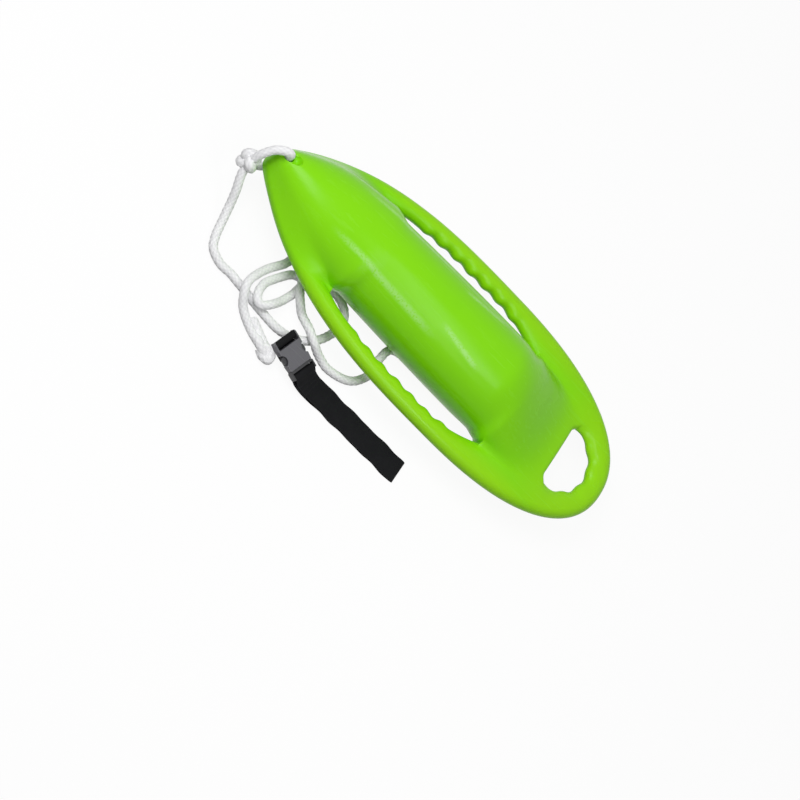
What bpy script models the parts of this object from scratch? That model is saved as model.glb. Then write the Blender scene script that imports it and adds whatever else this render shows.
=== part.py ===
"""Lifeguard rescue can: a foam-filled moulded float with side and rear grips, a tow rope through
its nose, and a webbing belt with a side-release buckle. Metres, +Z up, nose towards -Y.
The origin is on the floor under the middle of the can."""

import math

import bmesh
import bpy
from mathutils import Euler, Vector
from mathutils.bvhtree import BVHTree

# Driving dimensions of the can
CAN_LENGTH = 0.747
CAN_HALF_WIDTH = 0.1432
POD_RADIUS = 0.0785
POD_TAPER = 0.0055
POD_TAPER_LENGTH = 0.240
POD_AXIS_Z = 0.0735
RIM_Z = 0.0625
RIM_HALF_HEIGHT = 0.0139
RIM_BAND = 0.0284
NOSE_RISE = 0.003
WALL = 0.0045
FIT_GAP = 0.0003
FOAM_GAP = 0.0016

# Plan outline: stations are measured back from the nose tip
WIDEST_STATION = 0.454
NOSE_CAP = 0.006
NOSE_HALF_WIDTH = 0.0175
NOSE_POWERS = (2.97, 1.09)
TAIL_POWERS = (2.34, 2.23)

# Grip slots, rear grip hole and rope hole
SLOT_START = 0.201
SLOT_END = 0.527
SCALLOP_FIRST = 0.267
SCALLOP_PITCH = 0.032
SCALLOP_COUNT = 7
SCALLOP_DEPTH = 0.0042
HOLE_EDGE = 0.647
HOLE_CENTRE = 0.655
HOLE_RADIUS = 0.0565
HOLE_SCALLOP_DEPTH = 0.0036
HOLE_SCALLOP_STEP = math.radians(34)
ROPE_HOLE_STATION = 0.017
ROPE_HOLE_RADIUS = 0.0085

# Pod profile along the can
NOSE_POD_LENGTH = 0.275
NOSE_POD_ABOVE = 0.020
NOSE_POD_BELOW = 0.011
POD_FALL_START = 0.470
POD_FALL_END = 0.640
WEB_HALF_HEIGHT = 0.0135
WEB_HALF_WIDTH = 0.086
CHINE_DEPTH = 0.0070
CHINE_ANGLE = math.radians(58)
CHINE_SPREAD = math.radians(26)
CHINE_START = (0.215, 0.265)
CHINE_END = (0.490, 0.550)

# Tow rope, and its knots and route in millimetres: across, station behind the nose tip, height
ROPE_RADIUS = 0.0065
ROPE_CLEAR = 0.0068
KNOT_TUBE = 0.0063
KNOT_VOXEL = 0.0023
KNOT_GAP = 0.00035
NOSE_KNOT = (30, -17, 64)
BELT_KNOT = (204, 190, 9.6)
NOSE_LOOP_ROUTE = [
    (29, -16, 76), (22, -14, 92), (12, -7, 106), (5, 5, 113), (1, 14, 111), (0, 17, 100),
    (0, 17, 84), (0, 17, 70), (0, 17.5, 60), (0.5, 17.5, 50), (3, 14, 42), (8, 6, 37),
    (15, -3, 37), (21, -10, 42), (26, -15, 51)]
STRAND_DOWN = [
    (33, -15, 62), (48, -9, 50), (63, 3, 35), (79, 13, 20), (102, 22, 9), (125, 28, 6.5),
    (141, 36, 6.5), (149, 50, 6.5), (152, 64, 6.5), (151, 80, 6.5), (153, 99, 6.5),
    (155, 118, 6.5), (158, 138, 6.5), (160, 160, 6.5), (161, 186, 6.5), (155, 212, 6.5),
    (143, 232, 6.5)]
STRAND_UNDER = [
    (131, 244, 6.5), (118, 253, 6.5), (104, 259, 6.5), (88, 264, 6.5), (71, 263, 6.5),
    (57, 253, 6.5), (50, 238, 6.5), (48, 218, 6.5), (52, 200, 6.5), (62, 188, 6.5)]
INNER_LOOP = [
    (80, 179, 6.5), (101, 175, 6.5), (115, 170, 7.5), (127, 165, 11), (138, 159, 16),
    (147, 153.5, 19.8), (155, 147, 20.4), (160, 140, 20.4), (158, 132, 20.4), (150, 127, 20.4),
    (140, 126, 18), (124, 129, 12), (108, 137, 7.5), (96, 144, 6.5), (85, 151, 6.5), (78, 158, 8)]
STRAND_RIGHT = [
    (77, 166, 13), (83, 171, 19.5), (93, 174, 21), (102, 180, 20.6), (110, 190, 17),
    (117, 203, 11), (124, 214, 14.5), (131, 223, 20), (137, 232, 21), (142, 242, 20.8),
    (145, 252, 16), (147, 266, 10), (149, 286, 6.5), (144, 311, 6.5), (134, 329, 6.5),
    (119, 340, 6.5), (103, 346, 6.5), (84, 344, 6.5), (69, 345, 6.5)]
STRAND_HIDDEN = [
    (56, 347, 6.5), (47, 353, 6.5), (42.5, 365, 6.5), (42, 380, 6.5), (42, 405, 6.5),
    (42, 430, 6.5), (42, 455, 6.5), (43, 485, 6.5), (40, 513, 6.5), (30, 537, 6.5),
    (14, 553, 6.5), (-10, 556, 6.5),
    (-33, 545, 6.5), (-50, 522, 6.5), (-58, 495, 6.5), (-62, 460, 6.5), (-64, 420, 6.5),
    (-66, 380, 6.5), (-66, 340, 6.5), (-63, 300, 6.5), (-60, 262, 6.5), (-56, 225, 6.5),
    (-49, 192, 6.5), (-37, 165, 6.5), (-20, 148, 6.5), (0, 139, 6.5), (24, 137, 6.5),
    (46, 141, 6.5), (62, 141, 6.5)]
OUTER_LOOP = [
    (75, 137, 6.5), (88, 129, 7), (105, 119, 11), (126, 110, 16.5), (143, 105, 20.4),
    (155, 105.5, 20.6), (166, 112, 17), (175, 122, 10), (183, 135, 6.5), (190, 148, 6.5),
    (196, 162, 7), (201, 176, 8.5)]

# Belt buckle, in its own frame: across, along from the nose end to the belt end, height
BUCKLE_ORIGIN = (0.173, 0.195)
BUCKLE_TURN = math.radians(-16.1)
BUCKLE_BOTTOM = 0.0170
BUCKLE_TOP = 0.0278
BUCKLE_HALF_WIDTH = 0.0225
MOUTH = 0.050
BAR_BOTTOM = 0.0204
BAR_TOP = 0.0236
ARM_PIVOT = (0.0136, 0.0459)
ARM_BOTTOM = 0.0196
ARM_TOP = 0.0252
WINDOW_CENTRE = (0.025, 0.0305)
WINDOW_RADIUS = 0.009
BELT_WIDTH = 0.0390
BELT_THICK = 0.0015
BELT_TURN_START = 0.070
BELT_CENTRE_X = 0.1875

# Course of the webbing in millimetres: distance from the buckle's nose end, height
BELT_ROUTE = [
    (30, 14.05), (20, 14.05), (12, 14.1), (6, 15.2), (2.6, 17.6), (1.7, 20.6), (2.2, 24.0),
    (4.6, 26.3), (8.4, 26.0), (11.0, 23.4), (11.7, 20.2), (12.2, 17.9), (13.2, 16.5),
    (15.7, 15.9), (30, 15.9), (54, 15.9), (66, 13.5), (80, 8.6), (100, 3.6), (125, 1.4),
    (160, 1.1), (200, 1.1), (240, 1.1), (268, 1.1), (277, 1.4), (281, 3.1), (277, 4.9),
    (268, 5.2), (240, 4.6), (200, 4.4), (160, 4.5), (130, 4.9), (108, 7.8), (90, 12.0),
    (78, 16.6), (70, 21.0), (65.8, 24.4), (61.8, 26.0), (58.0, 25.2), (56.3, 22.4),
    (56.5, 19.4), (58.6, 17.4), (63, 16.9), (72, 14.6), (82, 10.9), (94, 8.0)]

# Ports in the flat belly, closed by turned plugs: station, head radius, stem radius, stem end
FILL_PORT = (0.300, 0.0100, 0.0070, 0.0070)
VENT_PORT = (0.450, 0.0060, 0.0035, 0.0070)
HEAD_SEAT = 0.0020
HEAD_RECESS = 0.0003

# Buckle outlines' +X halves, from the nose end to the belt end
HOUSING_HALF = [(0.0205, 0.0005), (0.0222, 0.003), (0.0225, 0.012), (0.0218, 0.022), (0.0222, 0.030),
                (0.0218, 0.040), (0.0208, MOUTH)]
TONGUE_HALF = [(0.0045, 0.0200), (0.0045, 0.0466), (0.0186, 0.0466), (0.0186, 0.0503)]
INSERT_HALF = [(0.0205, 0.0503), (0.0222, 0.052), (0.0222, 0.0630), (0.0212, 0.0640)]
ARM_HALF = [(0.0136, 0.0462), (0.0120, 0.0454), (0.0124, 0.0340), (0.0132, 0.0270), (0.0148, 0.0240),
            (0.0196, 0.0242), (0.0220, 0.0260), (0.0227, 0.0300), (0.0223, 0.0340), (0.0206, 0.0369),
            (0.0174, 0.0374), (0.0163, 0.0400), (0.0154, 0.0454)]
INSERT_TOP = 0.0268
INSERT_UNDERSIDE = 0.0186

# Openings in the buckle, as limits along it; each is as wide as the webbing needs
STRAP_HALF_SPACE = 0.0199
SOCKET_HALF_WIDTH = 0.0192
HOUSING_FRONT = (-0.002, 0.004)
HOUSING_BAR = (0.0035, 0.0085)
HOUSING_SLOT = (0.0080, 0.0152)
SOCKET = (0.0170, 0.060)
SOCKET_HEIGHTS = (0.0190, 0.0258)
INSERT_SLOT = (0.0540, 0.0585)
INSERT_BAR = (0.0580, 0.0700)
INSERT_BEHIND = (0.0623, 0.0700)
INSERT_FRONT = (0.0495, 0.0545)
HOUSING_BEVEL = 0.0009
ARM_BEVEL = 0.0004
BELOW = 0.0
ABOVE = 0.04

# Plug and port details
SEAT_DEPTH = -0.001
PLUG_CHAMFER = 0.0005
ROPE_HOLE_LIMITS = (0.02, 0.14)

# Distances over which the webbing turns from the buckle's direction to the can's
BELT_SWING = 0.036
BELT_SHIFT = 0.060

# Knots: a trefoil course's spread along each axis, and the steps along it
NOSE_KNOT_SPREAD = (0.0035, 0.0041, 0.0036)
BELT_KNOT_SPREAD = (0.0021, 0.0066, 0.0017)
NOSE_KNOT_TURN = (math.radians(20), math.radians(65), 0)
KNOT_STEPS = 48


def smooth(t):
    t = min(max(t, 0.0), 1.0)
    return t * t * (3 - 2 * t)


def lerp(a, b, t):
    return a + (b - a) * t


def outline_half_width(s):
    if s < NOSE_CAP:
        return NOSE_HALF_WIDTH * math.sqrt(max(1 - ((NOSE_CAP - s) / NOSE_CAP) ** 2, 0.08))
    if s < WIDEST_STATION:
        u = (WIDEST_STATION - s) / (WIDEST_STATION - NOSE_CAP)
        rise = (1 - u ** NOSE_POWERS[0]) ** (1 / NOSE_POWERS[1])
        return NOSE_HALF_WIDTH + (CAN_HALF_WIDTH - NOSE_HALF_WIDTH) * rise
    u = min((s - WIDEST_STATION) / (CAN_LENGTH - WIDEST_STATION), 1.0)
    return CAN_HALF_WIDTH * (1 - u ** TAIL_POWERS[0]) ** (1 / TAIL_POWERS[1])


def tail_outline(angle):
    """Point of the plan outline seen from the rear hole's centre at an angle from the can's axis."""
    near, far = 0.0, 0.2
    for _ in range(40):
        middle = (near + far) / 2
        x, s = middle * math.sin(angle), HOLE_CENTRE + middle * math.cos(angle)
        inside = s < CAN_LENGTH and x < outline_half_width(s)
        near, far = (middle, far) if inside else (near, middle)
    return near * math.sin(angle), HOLE_CENTRE + near * math.cos(angle)


def rim_height(s):
    return RIM_Z + NOSE_RISE * (1 - smooth((s - 0.020) / 0.080))


def flank(s):
    """0 at the nose, where the pod runs out to the edge, 1 where the rim stands clear of it."""
    return smooth((s - 0.085) / 0.115)


def pod_radius(s):
    """The pod tapers a little from its thickest place towards the nose."""
    return POD_RADIUS - POD_TAPER * (max(WIDEST_STATION - s, 0.0) / POD_TAPER_LENGTH) ** 1.6


def pod_reach(s, up):
    """Height of the pod above its axis, or depth below it, at a station."""
    if s < NOSE_POD_LENGTH:
        tip = NOSE_POD_ABOVE if up > 0 else NOSE_POD_BELOW
        growth = 0.60 if up > 0 else 1.3
        rise = (1 - (1 - s / NOSE_POD_LENGTH) ** 2.3) ** growth
        return tip + (pod_radius(s) - tip) * rise
    return lerp(pod_radius(s), WEB_HALF_HEIGHT, pod_fall(s))


def pod_fall(s):
    """0 along the pod, 1 where it has run out into the flat web in front of the rear hole."""
    return smooth((s - POD_FALL_START) / (POD_FALL_END - POD_FALL_START))


def web_spread(s):
    """0 at the slots' rear ends, 1 at the rear hole, where the web is broad and flat."""
    return smooth((s - SLOT_END) / (HOLE_EDGE - HOLE_LIP - SLOT_END))


def pod_half_width(s):
    if s < SLOT_START:
        w = outline_half_width(s)
        return w * lerp(0.80, 0.69, flank(s))
    if s < SLOT_END:
        flare = 1 - smooth((s - SLOT_START) / 0.020) + 1 - smooth((SLOT_END - s) / 0.020)
        return pod_radius(s) + 0.0075 * flare
    return lerp(pod_radius(s) + 0.0075, WEB_HALF_WIDTH, web_spread(s))


def grip_band(s):
    """Width of the side grip from its outer edge to its slot, without the finger scallops."""
    front = 0.0035 * (1 - smooth((s - SLOT_START) / 0.066))
    rear = 0.0235 * max((s - 0.430) / (SLOT_END - 0.430), 0.0) ** 1.6
    slimmer = 0.0015 * (smooth((s - SLOT_START) / 0.020) - smooth((s - 0.340) / 0.020))
    return RIM_BAND + front + rear - slimmer


def grip_scallop(s):
    last = SCALLOP_FIRST + SCALLOP_PITCH * (SCALLOP_COUNT - 1)
    if not SCALLOP_FIRST - SCALLOP_PITCH / 2 < s < last + SCALLOP_PITCH / 2:
        return 0.0
    return SCALLOP_DEPTH * 0.5 * (1 + math.cos(2 * math.pi * (s - SCALLOP_FIRST) / SCALLOP_PITCH))


def hole_scallop(angle):
    if abs(angle) > 2 * HOLE_SCALLOP_STEP:
        return 0.0
    return HOLE_SCALLOP_DEPTH * 0.5 * (1 - math.cos(2 * math.pi * angle / HOLE_SCALLOP_STEP))


class Detail:
    """How many points the can's form gets across and along, and the angles round its rear hole."""

    def __init__(self, pod, bridge, rim, walls, nose, starts, ends, grip, tail, hole):
        self.pod = pod
        self.bridge = bridge
        self.rim = rim
        self.walls = walls
        self.nose = nose
        self.starts = starts
        self.ends = ends
        self.grip = grip
        self.tail = tail
        self.hole = hole


FINE = Detail(
    pod=6, bridge=3, rim=5, walls=2,
    nose=[0.0, 0.004, 0.010, 0.018, 0.029, 0.043, 0.060, 0.082, 0.108, 0.134, 0.156, 0.170, 0.182,
          0.192],
    starts=[0.0, 0.0055, 0.013, 0.024, 0.038], ends=[0.038, 0.024, 0.013, 0.0055, 0.0],
    grip=SCALLOP_PITCH / 4, tail=6,
    hole=[78, 68, 59.5, 51, 42.5, 34, 25.5, 17, 8.5, 0])
COARSE = Detail(
    pod=3, bridge=2, rim=3, walls=1,
    nose=[0.038, 0.060, 0.095, 0.130, 0.155],
    starts=[-0.016, 0.0, 0.013, 0.030], ends=[0.030, 0.013, 0.0],
    grip=SCALLOP_PITCH * 1.5, tail=5,
    hole=[78, 52, 26, 0])

POD_TOP_ANGLE = math.radians(10)
POD_PLATE_ANGLE = math.radians(18)
POCKET_ANGLE = math.radians(-4)
POCKET_SHALLOWS = (0.250, 0.450)
RIM_CLEARS = (0.100, 0.205)
SCOOP_START = (0.166, 0.194)
SCOOP_END = (0.530, 0.590)
POD_UNDER_ANGLE = math.radians(15)
POD_UNDER_EXTRA = math.radians(18)
RIM_INNER_ANGLE = math.radians(125)
RIM_SCOOP_ANGLE = math.radians(136)
RIM_POCKET_ANGLE = math.radians(155)
NOSE_POD_ANGLE = math.radians(42)
NOSE_RIM_ANGLE = math.radians(38)
WEB_ANGLE = math.radians(58)
HOLE_CORNER = (0.0540, 0.6520)
HOLE_CORNER_ANGLE = math.radians(82)
HOLE_LIP = 0.008
SLOT_LIP = 0.004


def slot_stations(detail):
    stations = [SLOT_START + step for step in detail.starts]
    ends = [SLOT_END - step for step in detail.ends]
    start = SCALLOP_FIRST - SCALLOP_PITCH / 4
    while start < ends[0] - 0.4 * detail.grip:
        if start > stations[-1] + 0.4 * detail.grip:
            stations.append(start)
        start += detail.grip
    return stations + ends


def make_row(centre, pod_width, outer, inner, scallop, kind):
    """One crossing of the can: the pod on the left, the rim or grip band from outer to inner."""
    across = Vector(inner) - Vector(outer)
    return {"centre": centre, "pod": pod_width, "outer": Vector(outer), "band": across.length,
            "inward": across.normalized(), "scallop": scallop, "kind": kind}


def can_rows(detail, scallops):
    rows = []
    for s in detail.nose + slot_stations(detail):
        w = outline_half_width(s)
        band = min(grip_band(s), 0.56 * w)
        bump = grip_scallop(s) if scallops else 0.0
        kind = "slot" if s >= SLOT_START + detail.starts[0] - 1e-6 else "nose"
        rows.append(make_row(s, pod_half_width(s), (w, s), (w - band, s), bump, kind))
    corner_outer = tail_outline(HOLE_CORNER_ANGLE)
    slot_inner = Vector((outline_half_width(SLOT_END) - grip_band(SLOT_END), SLOT_END))
    for k in range(1, detail.tail + 1):
        t = k / detail.tail
        s = lerp(SLOT_END, HOLE_EDGE - HOLE_LIP, t)
        outer_s = lerp(SLOT_END, corner_outer[1], t)
        outer = (outline_half_width(outer_s), outer_s)
        inner = slot_inner.lerp(Vector(HOLE_CORNER), t)
        rows.append(make_row(s, pod_half_width(s), outer, inner, 0.0, "tail"))
    for angle in map(math.radians, detail.hole):
        radius = HOLE_RADIUS - (hole_scallop(angle) if scallops else 0.0)
        inner = (radius * math.sin(angle), HOLE_CENTRE + radius * math.cos(angle))
        rows.append(make_row(0.0, 0.0, tail_outline(angle), inner, 0.0, "hole"))
    return rows


def between(s, limits):
    """0 before the limits, 1 after them, with a smooth rise from one to the other."""
    return smooth((s - limits[0]) / (limits[1] - limits[0]))


def chine(s, angle):
    """How far the belly's sides are drawn in from round, which leaves room for rope beside the keel."""
    along = between(s, CHINE_START) * (1 - between(s, CHINE_END))
    return CHINE_DEPTH * along * (1 - smooth(abs(angle + CHINE_ANGLE) / CHINE_SPREAD))


def pod_point(s, half_width, angle):
    reach = pod_reach(s, math.sin(angle))
    axis_z = lerp(POD_AXIS_Z, RIM_Z, pod_fall(s))
    drawn = 1 - chine(s, angle) / POD_RADIUS
    return Vector((half_width * math.cos(angle) * drawn, s, axis_z + reach * math.sin(angle) * drawn))


def rim_point(row, angle):
    band = row["band"]
    edge = min(RIM_BAND, band) / 2
    if math.cos(angle) > 0:
        inwards = edge * (1 - math.cos(angle))
    else:
        inwards = edge - (band - edge + row["scallop"]) * math.cos(angle)
    x, s = row["outer"] + row["inward"] * inwards
    thick = RIM_HALF_HEIGHT * math.sqrt(smooth((row["outer"][1] + 0.006) / 0.016))
    return Vector((x, s, rim_height(s) + thick * math.sin(angle)))


def bridge(start, leave, end, arrive, count):
    """Points of the hollow fillet between the pod's side and the rim."""
    reach = (end - start).length * 0.9
    points = []
    for k in range(1, count + 1):
        t = k / (count + 1)
        a = start * (2 * t ** 3 - 3 * t ** 2 + 1) + end * (3 * t ** 2 - 2 * t ** 3)
        b = leave * (reach * (t ** 3 - 2 * t ** 2 + t)) + arrive * (reach * (t ** 3 - t ** 2))
        points.append(a + b)
    return points


def rim_inner_angle(row, up):
    """Where the rim's inner side begins; the upper skin dips further round it beside the slots."""
    if row["kind"] == "hole":
        return RIM_INNER_ANGLE
    s = row["centre"]
    angle = lerp(NOSE_RIM_ANGLE, RIM_INNER_ANGLE, between(s, RIM_CLEARS))
    if up > 0:
        dip = between(s, SCOOP_START) * (1 - between(s, SCOOP_END))
        lowest = lerp(RIM_POCKET_ANGLE, RIM_SCOOP_ANGLE, between(s, POCKET_SHALLOWS))
        angle = lerp(angle, lowest, dip)
    return angle


def pod_side_angle(s):
    """Where the pod's upper skin ends and its side wall begins, lowest beside the slots' front ends."""
    lowest = lerp(POCKET_ANGLE, POD_TOP_ANGLE, between(s, POCKET_SHALLOWS))
    return lerp(POD_PLATE_ANGLE, lowest, between(s, SCOOP_START))


def row_side(row, detail, up):
    """The row's points from the can's middle to its outer edge, on the upper or the under side."""
    points = []
    s = row["centre"]
    inner_angle = rim_inner_angle(row, up)
    if row["kind"] != "hole":
        lean = POD_UNDER_EXTRA * (POD_AXIS_Z - rim_height(s)) / (POD_AXIS_Z - RIM_Z)
        side = pod_side_angle(s) if up > 0 else -(POD_UNDER_ANGLE + lean)
        last = lerp(up * NOSE_POD_ANGLE, side, flank(s))
        last = lerp(last, up * WEB_ANGLE, web_spread(s))
        for k in range(detail.pod + 1):
            angle = lerp(up * math.pi / 2, last, k / detail.pod)
            points.append(pod_point(s, row["pod"], angle))
        points[0].x = 0.0
        reach = pod_reach(s, up)
        leave = Vector((row["pod"] * abs(math.sin(last)), 0, -up * reach * math.cos(last))).normalized()
        start = points[-1]
        end = rim_point(row, up * inner_angle)
        rise = RIM_HALF_HEIGHT * -math.cos(inner_angle)
        outwards = -row["inward"] * (row["band"] / 2 * math.sin(inner_angle))
        arrive = Vector((outwards.x, outwards.y, up * rise)).normalized()
        points += bridge(start, leave, end, arrive, detail.bridge)
    for k in range(detail.rim + 1):
        points.append(rim_point(row, up * inner_angle * (1 - k / detail.rim)))
    if row["kind"] == "hole" and row["outer"].x < 1e-6:
        for point in points:
            point.x = 0.0
    return points


def lip_walls(top, under, edge, count):
    """Rounded wall points from an upper point round an edge point to the under point."""
    middle = (top.z + under.z) / 2
    points = []
    for k in range(1, count + 1):
        angle = math.pi * (0.5 - k / (count + 1))
        plan = top.lerp(edge, math.cos(angle)) if angle >= 0 else under.lerp(edge, math.cos(angle))
        half = (top.z - under.z) / 2
        points.append(Vector((plan.x, plan.y, middle + half * math.sin(angle))))
    return points


def row_walls(row, detail):
    """Wall points below the pod's side and behind the rim's inner edge, top to bottom."""
    s = row["centre"]
    pod_walls = []
    if row["kind"] != "hole":
        lean = POD_UNDER_EXTRA * (POD_AXIS_Z - rim_height(s)) / (POD_AXIS_Z - RIM_Z)
        for k in range(1, detail.walls + 1):
            angle = lerp(pod_side_angle(s), -(POD_UNDER_ANGLE + lean), k / (detail.walls + 1))
            pod_walls.append(pod_point(s, row["pod"], angle))
    rim_walls = []
    for k in range(1, detail.walls + 1):
        end_angle = 2 * math.pi - rim_inner_angle(row, -1)
        angle = lerp(rim_inner_angle(row, 1), end_angle, k / (detail.walls + 1))
        rim_walls.append(rim_point(row, angle))
    return pod_walls, rim_walls


def can_half_mesh(name, detail, inset=0.0, scallops=True):
    """The can's +X half, open at the middle plane, pulled in along its normals by the inset."""
    mesh = bmesh.new()
    rows = can_rows(detail, scallops)
    joint = detail.pod
    inner = detail.pod + detail.bridge + 1
    outer_index = inner + detail.rim

    def vertex(point):
        return mesh.verts.new((point.x, point.y - CAN_LENGTH / 2, point.z))

    def face(*corners):
        mesh.faces.new(corners)

    uppers, unders, pod_walls, rim_walls, points = [], [], [], [], []
    for row in rows:
        upper = row_side(row, detail, 1)
        under = row_side(row, detail, -1)
        walls = row_walls(row, detail)
        points.append((upper, under, walls))
        uppers.append([vertex(p) for p in upper])
        unders.append([vertex(p) for p in under[:-1]] + [uppers[-1][-1]])
        has_pod = row["kind"] in ("slot", "tail") and row["centre"] <= SLOT_END
        last_web = row["kind"] == "tail" and abs(row["centre"] - (HOLE_EDGE - HOLE_LIP)) < 1e-6
        pod_walls.append([vertex(p) for p in walls[0]] if has_pod else [])
        needs_rim = has_pod or last_web or row["kind"] == "hole"
        rim_walls.append([vertex(p) for p in walls[1]] if needs_rim else [])

    first_slot = next(i for i, row in enumerate(rows) if row["kind"] == "slot")
    last_slot = max(i for i, row in enumerate(rows) if row["kind"] == "slot")
    last_web = max(i for i, row in enumerate(rows) if row["kind"] == "tail")

    for i in range(len(rows) - 1):
        in_slot = first_slot <= i < last_slot
        in_hole = i >= last_web
        shift = joint + detail.bridge + 1
        for j in range(outer_index):
            if in_slot and joint <= j < inner:
                continue
            if in_hole and j < inner:
                continue
            after = j - shift if rows[i + 1]["kind"] == "hole" else j
            before = j - shift if rows[i]["kind"] == "hole" else j
            face(uppers[i][before], uppers[i][before + 1], uppers[i + 1][after + 1], uppers[i + 1][after])
            face(unders[i][before], unders[i + 1][after], unders[i + 1][after + 1], unders[i][before + 1])
        if in_slot:
            for ring, column, flip in ((pod_walls, joint, False), (rim_walls, inner, True)):
                a = [uppers[i][column]] + ring[i] + [unders[i][column]]
                b = [uppers[i + 1][column]] + ring[i + 1] + [unders[i + 1][column]]
                for level in range(len(a) - 1):
                    corners = (a[level], a[level + 1], b[level + 1], b[level])
                    face(*(reversed(corners) if flip else corners))
        if in_hole:
            column_a = inner if rows[i]["kind"] != "hole" else 0
            a = [uppers[i][column_a]] + rim_walls[i] + [unders[i][column_a]]
            b = [uppers[i + 1][0]] + rim_walls[i + 1] + [unders[i + 1][0]]
            for level in range(len(a) - 1):
                face(a[level], b[level], b[level + 1], a[level + 1])

    def end_wall(i, columns, edges, flip):
        """Close the row's section with a rounded wall through the given edge points."""
        upper, under, walls = points[i]
        strips = []
        for column, edge in zip(columns, edges):
            if edge is None:
                ring = pod_walls[i] if column == joint else rim_walls[i]
            else:
                ring = [vertex(p) for p in lip_walls(upper[column], under[column], edge, detail.walls)]
            strips.append([uppers[i][column]] + ring + [unders[i][column]])
        for a, b in zip(strips, strips[1:]):
            for level in range(len(a) - 1):
                corners = (a[level], b[level], b[level + 1], a[level + 1])
                face(*(reversed(corners) if flip else corners))

    for i, flip, lip in ((first_slot, False, -SLOT_LIP), (last_slot, True, SLOT_LIP)):
        row = rows[i]
        pod_edge = Vector((row["pod"], row["centre"] + lip, 0))
        grip_edge = Vector((row["outer"].x - row["band"], row["centre"] + lip, 0))
        middle = [pod_edge.lerp(grip_edge, k / (detail.bridge + 1)) for k in range(1, detail.bridge + 1)]
        end_wall(i, range(joint, inner + 1), [None] + middle + [None], flip)

    upper, under, walls = points[last_web]
    edges = []
    for column in range(inner):
        x = upper[column].x
        if column <= joint:
            edges.append(Vector((x, HOLE_EDGE, 0)))
        else:
            t = (column - joint) / (inner - joint)
            edges.append(Vector((upper[joint].x, HOLE_EDGE, 0)).lerp(Vector((*HOLE_CORNER, 0)), t))
    end_wall(last_web, range(inner + 1), edges + [None], False)

    for j in range(outer_index - 1):
        face(uppers[0][j], unders[0][j], unders[0][j + 1], uppers[0][j + 1])
    face(uppers[0][outer_index - 1], unders[0][outer_index - 1], uppers[0][outer_index])

    for vert in mesh.verts:
        vert.co.z = max(vert.co.z, 0.0)
    mesh.normal_update()
    if inset:
        bmesh.ops.triangulate(mesh, faces=mesh.faces, quad_method="FIXED")
        moves = []
        for vert in mesh.verts:
            normal = vert.normal.copy()
            if abs(vert.co.x) < 1e-6:
                normal.x = 0.0
            moves.append((vert, normal.normalized() * inset))
        for vert, move in moves:
            vert.co -= move
    data = bpy.data.meshes.new(name)
    mesh.to_mesh(data)
    mesh.free()
    return data


def smooth_route(points, spacing, close_spacing, bend_radius=0.045):
    """Points along a smooth curve through the route, closer together where it bends tightly."""
    knots = [2 * points[0] - points[1]] + points + [2 * points[-1] - points[-2]]
    fine = []
    for a, b, c, d in zip(knots, knots[1:], knots[2:], knots[3:]):
        steps = max(4, int((c - b).length / 0.002))
        for k in range(steps):
            t = k / steps
            fine.append(0.5 * (2 * b + (c - a) * t + (2 * a - 5 * b + 4 * c - d) * t * t
                               + (3 * b - a - 3 * c + d) * t ** 3))
    fine.append(points[-1])
    route = [fine[0]]
    for k in range(1, len(fine) - 1):
        behind = fine[max(k - 5, 0)]
        ahead = fine[min(k + 5, len(fine) - 1)]
        turn = (fine[k] - behind).angle(ahead - fine[k], 0.0)
        radius = (ahead - behind).length / 2 / max(turn, 1e-6)
        step = close_spacing if radius < bend_radius else spacing
        if (fine[k] - route[-1]).length >= step and (fine[-1] - fine[k]).length > close_spacing * 0.6:
            route.append(fine[k])
    route.append(fine[-1])
    return route


def least_gap(route, radius):
    """Least clear distance between parts of a tube that lie more than three diameters apart."""
    lengths = [0.0]
    for a, b in zip(route, route[1:]):
        lengths.append(lengths[-1] + (b - a).length)
    least = 1.0
    for i, a in enumerate(route):
        for j in range(i + 1, len(route) - 1):
            if lengths[j] - lengths[i] > 6 * radius:
                b, c = route[j], route[j + 1]
                along = max(0.0, min(1.0, (a - b).dot(c - b) / (c - b).length_squared))
                least = min(least, (a - b.lerp(c, along)).length - 2 * radius)
    return least, lengths[-1]


for old in list(bpy.data.objects):
    bpy.data.objects.remove(old)

parts = bpy.data.collections.new("rescue_can")
cutters = bpy.data.collections.new("cutters")
for group in (parts, cutters):
    bpy.context.scene.collection.children.link(group)


def material(name, colour, roughness, metallic=0.0):
    mat = bpy.data.materials.new(name)
    mat.use_nodes = True
    shader = mat.node_tree.nodes["Principled BSDF"]
    shader.inputs["Base Color"].default_value = (*colour, 1.0)
    shader.inputs["Roughness"].default_value = roughness
    shader.inputs["Metallic"].default_value = metallic
    return mat


def part(name, data, mat, place=None):
    ob = bpy.data.objects.new(name, data)
    ob.data.materials.clear()
    ob.data.materials.append(mat)
    parts.objects.link(ob)
    if place is not None:
        ob.parent = place
    return ob


def cutter(name, data, place=None):
    ob = bpy.data.objects.new(name, data)
    ob.hide_render = True
    ob.display_type = "WIRE"
    cutters.objects.link(ob)
    if place is not None:
        ob.parent = place
    return ob


def cut(target, tool):
    boolean = target.modifiers.new(tool.name, "BOOLEAN")
    boolean.operation = "DIFFERENCE"
    boolean.solver = "EXACT"
    boolean.object = tool


def mirror(ob):
    modifier = ob.modifiers.new("mirror", "MIRROR")
    modifier.merge_threshold = 0.0001


def world(x, s, z):
    """A place given across, by its station behind the nose tip and by its height."""
    return Vector((x, s - CAN_LENGTH / 2, z))


def millimetres(point):
    return world(point[0] / 1000, point[1] / 1000, point[2] / 1000)


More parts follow.
